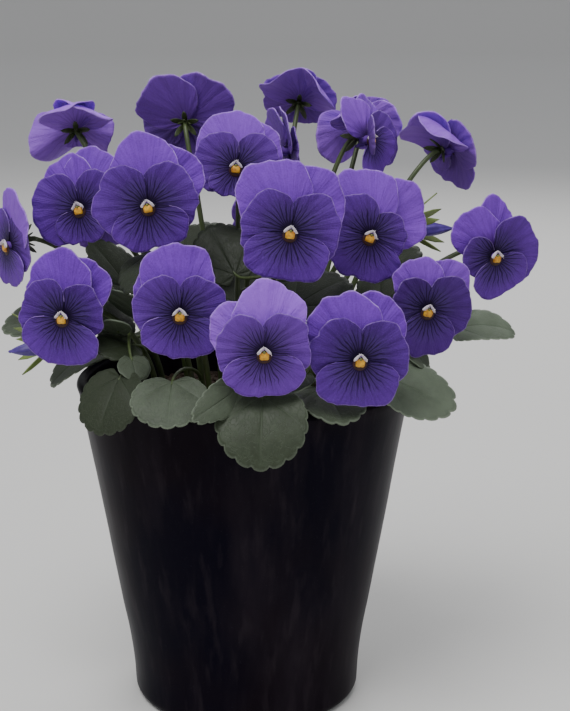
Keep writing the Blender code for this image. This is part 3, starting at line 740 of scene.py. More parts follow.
def petal_tree():
    """Petals: each seed grows a fan-shaped sheet with a waved margin. What it grows also
    carries, for its colours, where each point lies on the petal."""
    net, inputs = new_tree(
        "petal_fans",
        (
            ("Columns", "NodeSocketInt", PETAL_COLUMNS),
            ("Rows", "NodeSocketInt", PETAL_ROWS),
            ("Fan", "NodeSocketFloat", PETAL_FAN),
            ("Ruffle", "NodeSocketFloat", PETAL_RUFFLE),
            ("Scallop", "NodeSocketFloat", PETAL_SCALLOP),
            ("Material", "NodeSocketMaterial", None),
        ),
    )
    copies, across, along = net.sheets(inputs)
    turn = across * inputs["Fan"]
    phase = net.attribute("phase")
    ahead = turn.math("COSINE").math("MAXIMUM", 0.0)
    aside = turn.math("SINE")
    reach = ahead ** net.attribute("roundness") * net.attribute("length")
    reach = reach * (net.attribute("shoulder") * aside * aside + 1)
    from_middle = turn / 0.15
    middle = (from_middle * from_middle * -1).math("EXPONENT")
    reach = reach * (1 - net.attribute("notch") * middle)
    reach = reach * (middle * net.attribute("point") + 1)
    uneven = net.noise(net.vector(turn * 1.6, phase, 0.0), 1.4, 3.0) - 0.5
    reach = reach * (uneven * inputs["Scallop"] * along * along * 2.4 + 1)
    forward = along * reach * ahead
    side = along * reach * aside
    rise = net.attribute("lean") * forward + net.attribute("curl") * forward * forward
    rise = rise + net.attribute("cup") * side * side
    broad_wave = (turn * 5 + phase).math("SINE") * 0.5
    short_wave = (turn * 8.6 + phase * 2.3).math("SINE") * 0.3
    pleat = (turn * 19 + phase * 3.1).math("SINE") * 0.06 * along
    wave = (broad_wave + short_wave) * along**2.6 + pleat * along
    rise = rise + wave * inputs["Ruffle"] * net.attribute("ruffle")
    bend = net.attribute("bend").math("MAXIMUM", 0.01)
    tilt = bend * forward
    arm = 1 / bend + rise
    forward = tilt.math("SINE") * arm
    rise = tilt.math("COSINE") * arm - 1 / bend
    way = net.attribute("heading")
    size = net.attribute("size")
    ways = (way.math("COSINE"), way.math("SINE"))
    x = net.attribute("root_x") + forward * ways[0] - side * ways[1]
    y = net.attribute("root_y") + forward * ways[1] + side * ways[0]
    spot = net.vector(x * size * MM, y * size * MM, (rise * size + net.attribute("depth")) * MM)
    place = net.vector(turn, along, net.attribute("layer"))
    spread = net.vector(along * reach, phase, net.attribute("tone"))
    petals = net.store(net.store(copies, "petal_place", place), "petal_spread", spread)
    petals = net.add("GeometryNodeFlipFaces", {}, net.shaped(petals, spot))
    return finish_tree(net, net.smooth(petals), inputs["Material"])


def leaf_tree():
    """Leaf blades: each seed grows a rounded blade with a scalloped edge, sunken veins and a
    bend along its rib, in millimetres that are brought down to metres at the end."""
    net, inputs = new_tree(
        "leaf_blades",
        (
            ("Columns", "NodeSocketInt", LEAF_SHEETS["large"][0]),
            ("Rows", "NodeSocketInt", LEAF_SHEETS["large"][1]),
            ("Fan", "NodeSocketFloat", LEAF_FAN),
            ("Tooth", "NodeSocketFloat", LEAF_TOOTH),
            ("Puff", "NodeSocketFloat", 1.0),
            ("Material", "NodeSocketMaterial", None),
        ),
    )
    copies, across, along = net.sheets(inputs)
    turn = across * inputs["Fan"]
    ahead = turn.math("COSINE")
    aside = turn.math("SINE")
    inset = net.attribute("inset")
    length = net.attribute("length")
    phase = net.attribute("phase")
    offside = inset * aside
    reach = inset * ahead + (1 - offside * offside).math("SQRT")
    from_tip = turn / 0.42
    tip = (from_tip * from_tip * -1).math("EXPONENT")
    reach = reach + net.attribute("draw") * tip
    teeth = abs((across * net.attribute("teeth") * (math.pi / 2)).math("COSINE")) ** 0.55
    uneven = net.noise(net.vector(across * 2, phase, 0.0), 1.6) - 0.5
    reach = reach * ((teeth - 0.6) * inputs["Tooth"] * along**3 + uneven * 0.1 + 1)
    reach = reach * length / (inset + net.attribute("draw") + 1) * along
    run = reach * ahead
    side = reach * aside * net.attribute("width")
    ribs = abs((turn * LEAF_RIBS).math("SINE")) ** 0.5
    puff = (ribs - 0.5) * inputs["Puff"] * along * (1.3 - along)
    wave = (turn * 4 + phase).math("SINE") * along * along * along * 0.03 * length
    curve = net.attribute("bend") / length
    bent = curve * run
    spot = net.vector(
        side * MM,
        (bent.math("SINE") / curve - puff * bent.math("SINE") * -1) * MM,
        ((bent.math("COSINE") - 1) / curve + puff + wave) * MM,
    )
    place = net.vector(turn, along, net.attribute("tone"))
    blades = net.shaped(net.store(copies, "leaf_place", place), spot)
    return finish_tree(net, net.smooth(blades), inputs["Material"])


def stalk_tree():
    """Stems: a tube along the seeds' edges, as thick as each seed says."""
    net, inputs = new_tree(
        "stalks",
        (("Sides", "NodeSocketInt", TUBE_SIDES), ("Material", "NodeSocketMaterial", None)),
    )
    path = net.add("GeometryNodeMeshToCurve", {}, inputs["Geometry"])
    ring = net.add(
        "GeometryNodeCurvePrimitiveCircle", {"mode": "RADIUS"}, inputs["Sides"], Radius=1.0
    )
    tube = net.add(
        "GeometryNodeCurveToMesh",
        {},
        Curve=path,
        Profile_Curve=ring,
        Scale=net.attribute("thickness"),
        Fill_Caps=True,
    )
    return finish_tree(net, net.smooth(tube), inputs["Material"])


def beard_tree():
    """Beards: a short club-shaped hair on each seed, turned the way that the seed says."""
    net, inputs = new_tree(
        "beard_hairs",
        (
            ("Length", "NodeSocketFloat", HAIR_LENGTH * MM),
            ("Radius", "NodeSocketFloat", HAIR_RADIUS * MM),
            ("Material", "NodeSocketMaterial", None),
        ),
    )
    hair = net.add(
        "GeometryNodeMeshCone",
        {"fill_type": "NGON"},
        Vertices=5,
        Side_Segments=2,
        Fill_Segments=1,
        Radius_Top=inputs["Radius"],
        Radius_Bottom=inputs["Radius"] * 0.6,
        Depth=inputs["Length"],
    )
    turns = net.vector(*(net.attribute(label) for label in ("tip_x", "tip_y", "tip_z")))
    hairs = net.copies(inputs["Geometry"], hair, Rotation=turns)
    return finish_tree(net, net.smooth(hairs), inputs["Material"])


def crumb_tree():
    """Soil crumbs: rough lumps of several sizes, scattered over the faces that look up."""
    net, inputs = new_tree(
        "soil_crumbs",
        (
            ("Density", "NodeSocketFloat", CRUMB_DENSITY),
            ("Smallest", "NodeSocketFloat", 0.4),
            ("Largest", "NodeSocketFloat", 1.5),
            ("Seed", "NodeSocketInt", 7),
            ("Material", "NodeSocketMaterial", None),
        ),
    )
    up = net.parts(net.add("GeometryNodeInputNormal", {}))[2]
    points = net.add(
        "GeometryNodeDistributePointsOnFaces",
        {"distribute_method": "RANDOM"},
        Mesh=inputs["Geometry"],
        Selection=up.math("GREATER_THAN", 0.5),
        Density=inputs["Density"],
        Seed=inputs["Seed"],
    )
    lump = net.add("GeometryNodeMeshIcoSphere", {}, Radius=MM, Subdivisions=1)
    turns = net.add(
        "FunctionNodeRandomValue", {"data_type": "FLOAT_VECTOR"}, Max=(6.3, 6.3, 6.3), Seed=3
    )
    sizes = net.add(
        "FunctionNodeRandomValue",
        {"data_type": "FLOAT_VECTOR"},
        net.vector(inputs["Smallest"], inputs["Smallest"], inputs["Smallest"]),
        net.vector(inputs["Largest"], inputs["Largest"], inputs["Largest"] * 0.7),
        Seed=11,
    )
    crumbs = net.copies(points, lump, Rotation=turns, Scale=sizes)
    both = net.add("GeometryNodeJoinGeometry", {}, crumbs)
    net.plug(both.socket.node.inputs[0], inputs["Geometry"])
    return finish_tree(net, both, inputs["Material"])


# Finishes


def shaded(colour, share):
    """A colour made darker, or lighter where the share is above 1."""
    return tuple(part * share for part in colour[:3]) + (1.0,)


def new_material(name, roughness, **constants):
    """A material and its network. Constants go on the shader's own sockets."""
    material = bpy.data.materials.new(name)
    material.use_nodes = True
    shader = material.node_tree.nodes["Principled BSDF"]
    shader.inputs["Roughness"].default_value = roughness
    for label, value in constants.items():
        shader.inputs[label.replace("_", " ")].default_value = value
    return material, Net(material.node_tree), shader


def place_of(net, name):
    """The three numbers of an attribute that the mesh carries."""
    return net.parts(net.add("ShaderNodeAttribute", {"attribute_name": name}, out="Vector"))


def object_place(net, stretch=None):
    """Each point's own place, drawn out where a stretch is given."""
    place = net.add("ShaderNodeTexCoord", {}, out="Object")
    if stretch:
        return net.add("ShaderNodeMapping", {}, Vector=place, Scale=stretch)
    return place


def bump(net, shader, height, strength, distance):
    """Fine relief, from a height that varies over the surface."""
    normal = net.add(
        "ShaderNodeBump", {}, Strength=strength, Distance=distance, Height=height, out="Normal"
    )
    net.plug(shader.inputs["Normal"], normal)


def petal_material(name, upper, side, lower, rear):
    """Velvety petals: paler above and darker in front, with dark veins that fan out of the
    throat and a thin pale margin, which is partly painted rim light. Some blooms get painted
    light, most on their upper petals and rears. The rear is plainer and greyer."""
    material, net, shader = new_material(name, 0.6, Specular_IOR_Level=0.18)
    turn, along, layer = place_of(net, "petal_place")
    radius, phase, tone = place_of(net, "petal_spread")
    is_upper = (1 - layer).clamped()
    is_lower = (layer - 1).clamped()
    wobble = net.noise(net.vector(turn * 1.7, radius * 1.8, phase), 1.5) - 0.5

    def lines(width, share=1.0, waver=0.32):
        """Lines of a width that fan out of the throat, at a share of the veins' spacing."""
        spacing = VEIN_SPACING * share
        cycle = ((turn + wobble * waver) / spacing + 0.5).math("FRACT") - 0.5
        return (1 - abs(cycle) * radius * spacing / width).clamped()

    colour = net.mix(is_upper, side, upper)
    colour = net.mix(is_lower, colour, lower)
    mottle = net.noise(net.vector(turn * 2, radius * 2, phase + layer), 1.3, 3.0)
    streak = net.noise(net.vector(turn * 24, radius * 1.3, phase), 1.0, 3.0, 0.6)
    speckle = net.noise(net.vector(turn * 30, radius * 34, phase), 1.0)
    deep = net.mix(0.60, colour, DEEP_VIOLET)
    bright = net.mix(0.5, colour, BRIGHT_VIOLET)
    colour = net.mix(((mottle - 0.42) * 2).clamped() * 0.5, colour, deep)
    colour = net.mix(((streak - 0.45) * 2.4).clamped() * 0.6, colour, deep)
    colour = net.mix(((0.53 - streak) * 2.6).clamped() * along * 0.6, colour, bright)
    colour = net.mix(((speckle - 0.5) * 2.4).clamped() * 0.65, colour, deep)
    colour = net.mix(((0.47 - speckle) * 2.8).clamped() * along * 0.7, colour, bright)
    colour = net.mix(radius.step(0.45, 1.05) * 0.42 * (1 - is_upper), colour, bright)
    # Painted light: a bloom's tone lightens its petals towards a lit violet, most on the upper
    # petals and the rears
    lit = abs(tone).clamped(0.0, 1.6) * (0.13 + is_upper * 0.41 + (0.30 if rear else 0.0))
    colour = net.mix(lit, colour, LIT_VIOLET)
    colour = net.mix((0 - tone).clamped() * (1 - is_upper), colour, deep)
    throat = 0.48 + is_lower * 0.06 - is_upper * 0.16 + mottle * 0.2
    shade = (1 - (radius - 0.08) / throat).clamped()
    colour = net.mix(shade * (0.35 if rear else 0.80), colour, THROAT_SHADE)
    if not rear:
        span = 0.44 + is_lower * 0.16 + mottle * 0.28
        reach = (1 - (radius - 0.10) / span).clamped()
        ends = (reach * 2.5).clamped() * (1 - is_upper * 0.8)
        main = lines(0.007 + reach * 0.024)
        fork = lines(0.004 + reach * 0.012, 0.5) * radius.step(0.18, 0.30)
        pale = (1 - lines(0.050)) * reach * radius.step(0.14, 0.26)
        colour = net.mix(pale * (1 - is_upper) * 0.55, colour, BETWEEN_VEINS)
        veins = main.math("MAXIMUM", fork * 0.7)
        colour = net.mix(veins * ends * 0.88, colour, VEIN_SHADE)
    else:
        ribs = lines(0.028, waver=0.4) * (1 - radius * 0.8).clamped()
        colour = net.mix(0.38, colour, PETAL_REAR)
        colour = net.mix(ribs * 0.35, colour, deep)
    # The thin pale margin: partly the petal's own colour and partly painted rim light, broken up by
    # noise
    rim_light_breaks = net.noise(net.vector(turn * 7, phase, layer), 1.0)
    margin = along.step(0.974, 0.998) * (rim_light_breaks * 2.2 - 0.40).clamped()
    colour = net.mix(margin * (0.45 + is_upper * 0.25), colour, PALE_MARGIN_AND_RIM_LIGHT)
    net.plug(shader.inputs["Base Color"], colour)
    net.plug(shader.inputs["Roughness"], 0.52 + streak * 0.2)
    pleat = (turn * 21 + wobble * 5).math("SINE") * along
    bump(net, shader, pleat * 0.35 + streak * 0.8 + mottle * 0.5 + speckle * 0.3, 0.9, 0.0007)
    return material


def leaf_material(name, colour, vein, rear=False):
    """Leaf blades: dull grey-green, mottled, with paler veins and a thin pale edge."""
    material, net, shader = new_material(name, 0.5, Specular_IOR_Level=0.35)
    turn, along, tone = place_of(net, "leaf_place")
    place = object_place(net)
    mottle = net.noise(place, 420.0, 3.0, 0.6)
    cloud = net.noise(place, 110.0)
    dark = shaded(colour, 0.38)
    body = net.mix(tone, dark, PALE_LEAF)
    body = net.mix(0.4, body, colour)
    # Painted shade: a tone below 0 darkens leaves that lie deep in the foliage
    body = net.mix((0 - tone).clamped(), body, dark)
    base = net.mix((cloud * 1.8 - 0.5).clamped() * 0.6, body, dark)
    base = net.mix((mottle - 0.45).clamped() * (0.3 + tone), base, vein)
    rib = (turn * (LEAF_RIBS / math.pi) + 0.5).math("FRACT")
    rib = (1 - abs(rib - 0.5) * 30 * (along + 0.2)).clamped() * (1.05 - along).clamped()
    side = net.noise(net.vector(turn * 6, along * 7, tone * 9), 1.6)
    web = (1 - abs(side - 0.5) * 24).clamped() * 0.3
    veins = rib.math("MAXIMUM", web)
    base = net.mix(veins * ((0.6 if rear else 0.30) + tone * 0.25), base, vein)
    base = net.mix(along.step(0.955, 0.995) * (0.25 + tone * 0.45), base, LEAF_MARGIN)
    net.plug(shader.inputs["Base Color"], base)
    net.plug(shader.inputs["Roughness"], 0.42 + mottle * 0.25)
    bump(net, shader, mottle * 0.4 - veins * 0.8, 0.6, 0.0004)
    return material


def stem_material(name, colour):
    """Stems and calyces: green with lighter streaks and patches of a dark violet flush."""
    material, net, shader = new_material(name, 0.45)
    streak = net.noise(object_place(net, (1.0, 1.0, 0.12)), 900.0)
    cloud = net.noise(object_place(net), 60.0)
    flushed = net.mix(((cloud - 0.5) * 3).clamped() * 0.5, colour, STEM_FLUSH)
    base = net.mix((streak - 0.4).clamped(), flushed, STEM_STREAK)
    net.plug(shader.inputs["Base Color"], base)
    bump(net, shader, streak, 0.3, 0.0002)
    return material


def glaze_material(name, colour, gloss):
    """Near-black navy glaze: it clouds to brown, has painted reflections in soft upright streaks
    and has a low sheen."""
    material, net, shader = new_material(
        name, gloss, Coat_Weight=0.02, Coat_Roughness=0.14, Specular_IOR_Level=0.02
    )
    place = object_place(net)
    upright = object_place(net, (1.0, 1.0, 0.13))
    # Upright streaks of painted reflection, which also vary the roughness and the relief
    run = net.noise(upright, 62.0, 4.0, 0.62)
    thin = net.noise(upright, 210.0, 3.0, 0.55)
    speck = net.noise(place, 1900.0, 1.0)
    cloud = net.noise(place, 17.0)
    base = net.mix(((cloud - 0.42) * 6).clamped(), colour, GLAZE_BROWN)
    # Painted reflections: lighter soft and fine upright streaks on the glaze
    base = net.mix((run * 3.4 - 1.5).clamped() * 0.8, base, GLAZE_SOFT_REFLECTION)
    base = net.mix(((thin - 0.54) * 3).clamped() * 0.7, base, GLAZE_FINE_REFLECTION)
    base = net.mix((speck - 0.66).clamped() * 1.4, base, GLAZE_SPECK)
    net.plug(shader.inputs["Base Color"], base)
    net.plug(shader.inputs["Roughness"], gloss + run * 0.22)
    bump(net, shader, run + thin * 0.4, 0.12, 0.0006)
    return material


def soil_material(name, colour):
    """Moist dark compost with lighter fibres."""
    material, net, shader = new_material(name, 0.95)
    place = object_place(net)
    grain = net.noise(place, 700.0, 3.0, 0.7)
    patch = net.noise(place, 90.0)
    base = net.mix((grain * 1.8 - 0.5).clamped(), colour, SOIL_FIBRE)
    base = net.mix((patch - 0.5).clamped(), base, SOIL_SHADOW)
    net.plug(shader.inputs["Base Color"], base)
    bump(net, shader, grain, 0.8, 0.0008)
    return material


def plain_material(name, colour, roughness, grain, grain_size=900.0, tint=None):
    """A small part's finish: one colour with spots of another, or of a darker one, in a fine
    grain."""
    material, net, shader = new_material(name, roughness)
    spots = net.noise(object_place(net), grain_size)
    other = tint or shaded(colour, 0.6)
    net.plug(shader.inputs["Base Color"], net.mix((spots * 2 - 0.5).clamped(), colour, other))
    bump(net, shader, spots, grain, 0.0002)
    return material


# Settings


def length_property(label, words, default):
    return FloatProperty(name=label, description=words, default=default, unit="LENGTH")


def colour_property(label, words, default):
    return FloatVectorProperty(
        name=label, description=words, default=default, size=4, min=0, max=1, subtype="COLOR"
    )


class VioletPotSettings(bpy.types.PropertyGroup):
    """The glazed pot and the soil in it."""

    rim_radius: length_property("Rim radius", "Outer radius at the lip", RIM_RADIUS * MM)
    height: length_property("Height", "From the base to the top of the lip", POT_HEIGHT * MM)
    wall: length_property("Wall", "Thickness of the wall", WALL * MM)
    glaze: colour_property("Glaze", "Colour of the glaze", (0.0036, 0.0028, 0.0078, 1.0))
    gloss: FloatProperty(name="Roughness", description="Roughness of the glaze", default=0.22)
    soil: colour_property("Soil", "Colour of the soil", (0.022, 0.013, 0.008, 1.0))
    crumbs: FloatProperty(
        name="Crumbs", description="Crumbs on a square metre of soil", default=CRUMB_DENSITY
    )


class VioletBloomSettings(bpy.types.PropertyGroup):
    """The petals and eyes of the blooms."""

    thickness: length_property("Petal thickness", "Thickness of a petal", 0.42 * MM)
    ruffle: FloatProperty(name="Ruffle", description="Wave of the margins", default=PETAL_RUFFLE)
    columns: IntProperty(name="Columns", description="Points across", default=PETAL_COLUMNS)
    rows: IntProperty(name="Rows", description="Points along a petal", default=PETAL_ROWS)
    upper: colour_property("Upper petals", "Colour of the two upper", (0.140, 0.024, 0.430, 1))
    side: colour_property("Side petals", "Colour of the two at the sides", (0.045, 0.009, 0.140, 1))
    lower: colour_property("Lower petal", "Colour of the lowest", (0.072, 0.015, 0.215, 1))
    eye: colour_property("Eye", "Colour of the throat's pad", (0.360, 0.110, 0.005, 1))


class VioletFoliageSettings(bpy.types.PropertyGroup):
    """The leaves, stems and calyces."""

    thickness: length_property("Blade thickness", "Thickness of a leaf", 0.5 * MM)
    tooth: FloatProperty(name="Tooth", description="Depth of the edge", default=LEAF_TOOTH)
    leaf: colour_property("Leaf", "Colour of the blades", (0.044, 0.061, 0.028, 1.0))
    vein: colour_property("Vein", "Colour of the veins", (0.130, 0.170, 0.110, 1.0))
    stem: colour_property("Stem", "Colour of the stems", (0.052, 0.078, 0.022, 1.0))
    # The calyx behind the blooms is a darker green than the stems: painted shade
    calyx: colour_property("Calyx", "Colour behind the blooms", (0.036, 0.052, 0.016, 1.0))
    # The buds' calyx is a much brighter green than the stems, partly painted light
    lit_bud_calyx: colour_property("Bud calyx", "Colour round the buds", (0.19, 0.26, 0.065, 1.0))


class VioletStageSettings(bpy.types.PropertyGroup):
    """Floor, lights and camera."""

    floor: colour_property("Floor", "Colour of floor and cove", (0.74, 0.73, 0.71, 1.0))
    cove: length_property("Cove", "How far the floor reaches to its wall", 8.0)
    key_power: FloatProperty(name="Key light", description="Power in watts", default=15.0)
    lens: FloatProperty(name="Lens", description="Focal length in mm", default=75.95)


# Pieces


def pot_sizes(settings):
    """The pot's rim radius, height and wall in millimetres."""
    return [size / MM for size in (settings.rim_radius, settings.height, settings.wall)]


def wall_radius(height, rim, top):
    """The pot's outer radius at a height: upright at the foot, then a straight taper."""
    knee = FOOT_RADIUS + FOOT_FLARE
    if height < FOOT_HEIGHT:
        return FOOT_RADIUS + FOOT_FLARE * (height / FOOT_HEIGHT) ** 2
    rise = (height - FOOT_HEIGHT) / (top - FOOT_HEIGHT)
    ease = min(1.0, (height - FOOT_HEIGHT) / KNEE_LENGTH)
    return knee + (rim - knee) * rise - KNEE_DIP * ease * (1 - ease)


def turned_shape(profile, sides):
    """A bmesh of revolution from a profile that runs from the axis below, round the outside
    and back to the axis. Its faces always come in the same order."""
    shape = bmesh.new()
    turns = [math.tau * side / sides for side in range(sides)]
    rings = []
    for radius, height in profile:
        around = turns if radius else turns[:1]
        rings.append(
            [shape.verts.new((radius * math.cos(t), radius * math.sin(t), height)) for t in around]
        )
    for first, second in zip(rings, rings[1:]):
        for side in range(sides):
            turned = ((first, side), (first, side + 1), (second, side + 1), (second, side))
            corners = dict.fromkeys(ring[place % len(ring)] for ring, place in turned)
            shape.faces.new(list(corners))
    return shape


class VIOLET_OT_pot(bpy.types.Operator):
    """Turn the glazed pot"""

    bl_idname = "violet.pot"
    bl_label = "Glazed Pot"

    def execute(self, context):
        settings = context.scene.violet_pot
        rim, top, wall = pot_sizes(settings)
        profile = [(0.0, 0.0), (BASE_FLAT, 0.0)]
        for step in range(BASE_STEPS + 1):
            angle = math.radians(90 * step / BASE_STEPS)
            inward = BASE_EDGE * (1 - math.sin(angle))
            profile.append((FOOT_RADIUS - inward, BASE_EDGE * (1 - math.cos(angle))))
        lip = wall / 2
        climb = (top - lip - BASE_EDGE) / WALL_STEPS
        rise = [BASE_EDGE + climb * step for step in range(1, WALL_STEPS)]
        profile += [(wall_radius(height, rim, top), height) for height in rise]
        for step in range(LIP_STEPS + 1):
            angle = math.radians(180 * step / LIP_STEPS)
            profile.append((rim - lip + lip * math.cos(angle), top - lip + lip * math.sin(angle)))
        profile += [(wall_radius(height, rim, top) - wall, height) for height in rise[:1:-2]]
        profile.append((wall_radius(FLOOR, rim, top) - wall - FLOOR_ROUNDING, FLOOR))
        profile += [(BASE_FLAT, FLOOR), (0.0, FLOOR)]
        shape = turned_shape(profile, POT_SIDES)
        for vert in shape.verts:
            if vert.co.z > 1:
                # The wall swells by up to a quarter of a millimetre, as fired clay does
                swell = noise.noise(vert.co * 0.021) * 0.22 + noise.noise(vert.co * 0.07) * 0.07
                out = Vector((vert.co.x, vert.co.y, 0)).normalized()
                vert.co += out * swell * min(1.0, vert.co.z / 8)
        glaze = glaze_material("navy_glaze", settings.glaze, settings.gloss)
        settle(solid_object("glazed_pot", shape, glaze, Matrix()), "pot")
        return {"FINISHED"}


class VIOLET_OT_soil(bpy.types.Operator):
    """Fill the pot with crumbly soil"""

    bl_idname = "violet.soil"
    bl_label = "Soil"

    def execute(self, context):
        settings = context.scene.violet_pot
        rim, top, wall = pot_sizes(settings)
        inner = {
            height: wall_radius(height, rim, top) - wall - SOIL_GAP
            for height in (FLOOR, *SOIL_LEVELS)
        }
        bottom = FLOOR + SOIL_GAP
        profile = [(0.0, bottom), (inner[FLOOR] - FLOOR_ROUNDING, bottom)]
        profile += [(inner[height], height) for height in SOIL_LEVELS]
        edge = inner[SOIL_LEVELS[-1]]
        for step in range(1, SOIL_RINGS + 1):
            share = 1 - step / SOIL_RINGS
            profile.append((edge * share, SOIL_TOP + SOIL_CROWN * (1 - share**2)))
        shape = turned_shape(profile, SOIL_SIDES)
        for vert in shape.verts:
            if vert.co.z > SOIL_TOP - 0.5:
                # Low heaps and hollows under the crumbs
                rough = noise.noise(vert.co * 0.16) * 1.3 + noise.noise(vert.co * 0.6) * 0.7
                vert.co.z += rough - 0.3
        material = soil_material("potting_soil", settings.soil)
        bed = solid_object("soil_bed", shape, material, Matrix())
        wanted = {"Density": settings.crumbs, "Material": material}
        settle(link("potting_soil", run_tree(bed, crumb_tree(), wanted)), "soil")
        return {"FINISHED"}


def petal_seeds(number, size, luck):
    """The seeds of a bloom's five petals."""
    seeds = []
    for petal, row in PETALS.items():
        root, heading, length, roundness, shoulder, notch, depth, lean, curl, cup, layer = row
        turned_by, lengthened, narrowed = PETAL_CHANGES.get((number, petal), (0, 1, 1))
        leaned, cupped, bent = PETAL_FOLDS.get((number, petal), (0, 0, 0))
        numbers = PLAIN_SEED | {
            "root_x": root[0],
            "root_y": root[1],
            "heading": math.radians(heading + turned_by),
            "length": length * lengthened,
            "roundness": roundness * narrowed,
            "shoulder": shoulder,
            "notch": notch,
            "depth": depth,
            "lean": lean + leaned,
            "curl": curl,
            "cup": cup + cupped,
            "bend": math.radians(bent) / (length * lengthened),
            "size": size,
            "layer": layer,
            "phase": luck.uniform(0, 6.28),
            "tone": BLOOM_PALENESS_AND_LIGHT.get(number, 0.0) + luck.uniform(0, 0.2),
            "ruffle": luck.uniform(0.8, 1.2) * (1.1 if layer == 0 else 0.55),
        }
        seeds.append(((0, 0, 0), numbers))
    return seeds


def throat_parts(name, matrix, finishes, beards, luck):
    """The eye: a dark ring, a golden pad, a green stigma and two white beards that meet over
    it like a roof."""
    parts = []
    for label, (radii, centre, turn, finish) in THROAT.items():
        shape = bmesh.new()
        bmesh.ops.create_uvsphere(shape, u_segments=24, v_segments=12, radius=1.0)
        for vert in shape.verts:
            stretch = (1.0, 1.0, 1.0)
            if finish == "beard":
                # Each beard is thinner at its upper end, where the two meet
                stretch = (1.0, 1 - 0.35 * vert.co.x * (1 if turn > 0 else -1), 1.0)
            if finish == "eye":
                # The pad is nearly square
                square = 1 / max(abs(vert.co.x), abs(vert.co.y), 0.75) * 0.86
                stretch = (square, square, 1.0)
            vert.co = Vector(v * r * s for v, r, s in zip(vert.co, radii, stretch))
            vert.co += vert.co.normalized() * noise.noise(vert.co * 1.3) * 0.08
            vert.co = Matrix.Rotation(turn, 3, "Z") @ vert.co + Vector(centre)
        parts.append(solid_object(f"{name}_{label}", shape, finishes[finish], matrix))
    seeds = []
    for arm in (-1, 1):
        for _ in range(BEARD_HAIRS):
            share = luck.uniform(0, 1)
            spot = Vector(
                (
                    arm * (0.15 + 2.1 * share) + luck.gauss(0, 0.12),
                    2.45 - 2.3 * share + luck.gauss(0, 0.12),
                    1.25 + luck.uniform(-0.2, 0.2),
                )
            )
            tips = {
                "tip_x": luck.gauss(0.3, 0.5),
                "tip_y": -arm * luck.gauss(0.35, 0.4),
                "tip_z": luck.uniform(0, 3),
            }
            seeds.append((spot * MM, tips))
    settings = {
        "Length": HAIR_LENGTH * MM,
        "Radius": HAIR_RADIUS * MM,
        "Material": finishes["beard"],
    }
    parts.append(grown(name + "_beard", seeds, beards, settings, matrix))
    return parts


def tube_object(name, points, radii, stalks, material, matrix=Matrix()):
    """A tube through points in millimetres."""
    seeds = [(point * MM, {"thickness": r * MM}) for point, r in zip(points, radii)]
    edges = [(i, i + 1) for i in range(len(points) - 1)]
    settings = {"Sides": TUBE_SIDES, "Material": material}
    return grown(name, seeds, stalks, settings, matrix, edges=edges)


def bloom_back(name, matrix, finish, stalks):
    """The throat's outside, which the petals spring from, and the spur of the lower petal."""
    shape = bmesh.new()
    bmesh.ops.create_cone(
        shape,
        cap_ends=True,
        segments=CORE_SIDES,
        radius1=CORE_RADII[0],
        radius2=CORE_RADII[1],
        depth=CORE_FRONT - CORE_BACK,
        matrix=Matrix.Translation((0, 0, (CORE_BACK + CORE_FRONT) / 2)),
    )
    core = solid_object(name + "_core", shape, finish, matrix)
    shares = [step / SPUR_STEPS for step in range(SPUR_STEPS + 1)]
    start, run, drop = Vector(SPUR_START), Vector(SPUR_RUN), Vector(SPUR_DROP)
    points = [start + run * share + drop * share**2 for share in shares]
    radii = [SPUR_RADIUS - SPUR_TAPER * share**2 for share in shares]
    return [core, tube_object(name + "_spur", points, radii, stalks, finish, matrix)]


class VIOLET_OT_blooms(bpy.types.Operator):
    """Grow the open blooms"""

    bl_idname = "violet.blooms"
    bl_label = "Blooms"

    def execute(self, context):
        settings = context.scene.violet_blooms
        fans, beards, stalks = petal_tree(), beard_tree(), stalk_tree()
        colours = (settings.upper, settings.side, settings.lower)
        front = petal_material("petal_face", *colours, False)
        back = petal_material("petal_back", *colours, True)
        finishes = {
            "ring": plain_material("throat_ring", THROAT_RING, 0.6, 0.3),
            "eye": plain_material("eye_pad", settings.eye, 0.5, 0.6, 620.0, EYE_GOLD),
            "stigma": plain_material("stigma", STIGMA_GREEN, 0.35, 0.2),
            "beard": plain_material("beard", BEARD_WHITE, 0.6, 0.1, 1500.0, BEARD_SHADE),
        }
        wanted = {
            "Columns": settings.columns,
            "Rows": settings.rows,
            "Fan": PETAL_FAN,
            "Ruffle": settings.ruffle,
            "Scallop": PETAL_SCALLOP,
            "Material": front,
        }
        for number, place in BLOOMS.items():
            luck = random.Random("bloom" + number)
            name = "violet_bloom_" + number
            matrix = bloom_matrix(place)
            seeds = petal_seeds(number, place[6], luck)
            parts = [grown(name, seeds, fans, wanted, matrix, settings.thickness, (back,))]
            parts += throat_parts(name, matrix, finishes, beards, luck)
            parts += bloom_back(name, matrix, back, stalks)
            settle(joined(name, parts), "bloom_" + number)
        return {"FINISHED"}


def swayed(point):
    """A stem's point, moved a little off its smooth path."""
    places = [point * 0.05 + Vector((0, 0, 40 * axis)) for axis in range(3)]
    return point + Vector([noise.noise(place) for place in places]) * STEM_SWAY


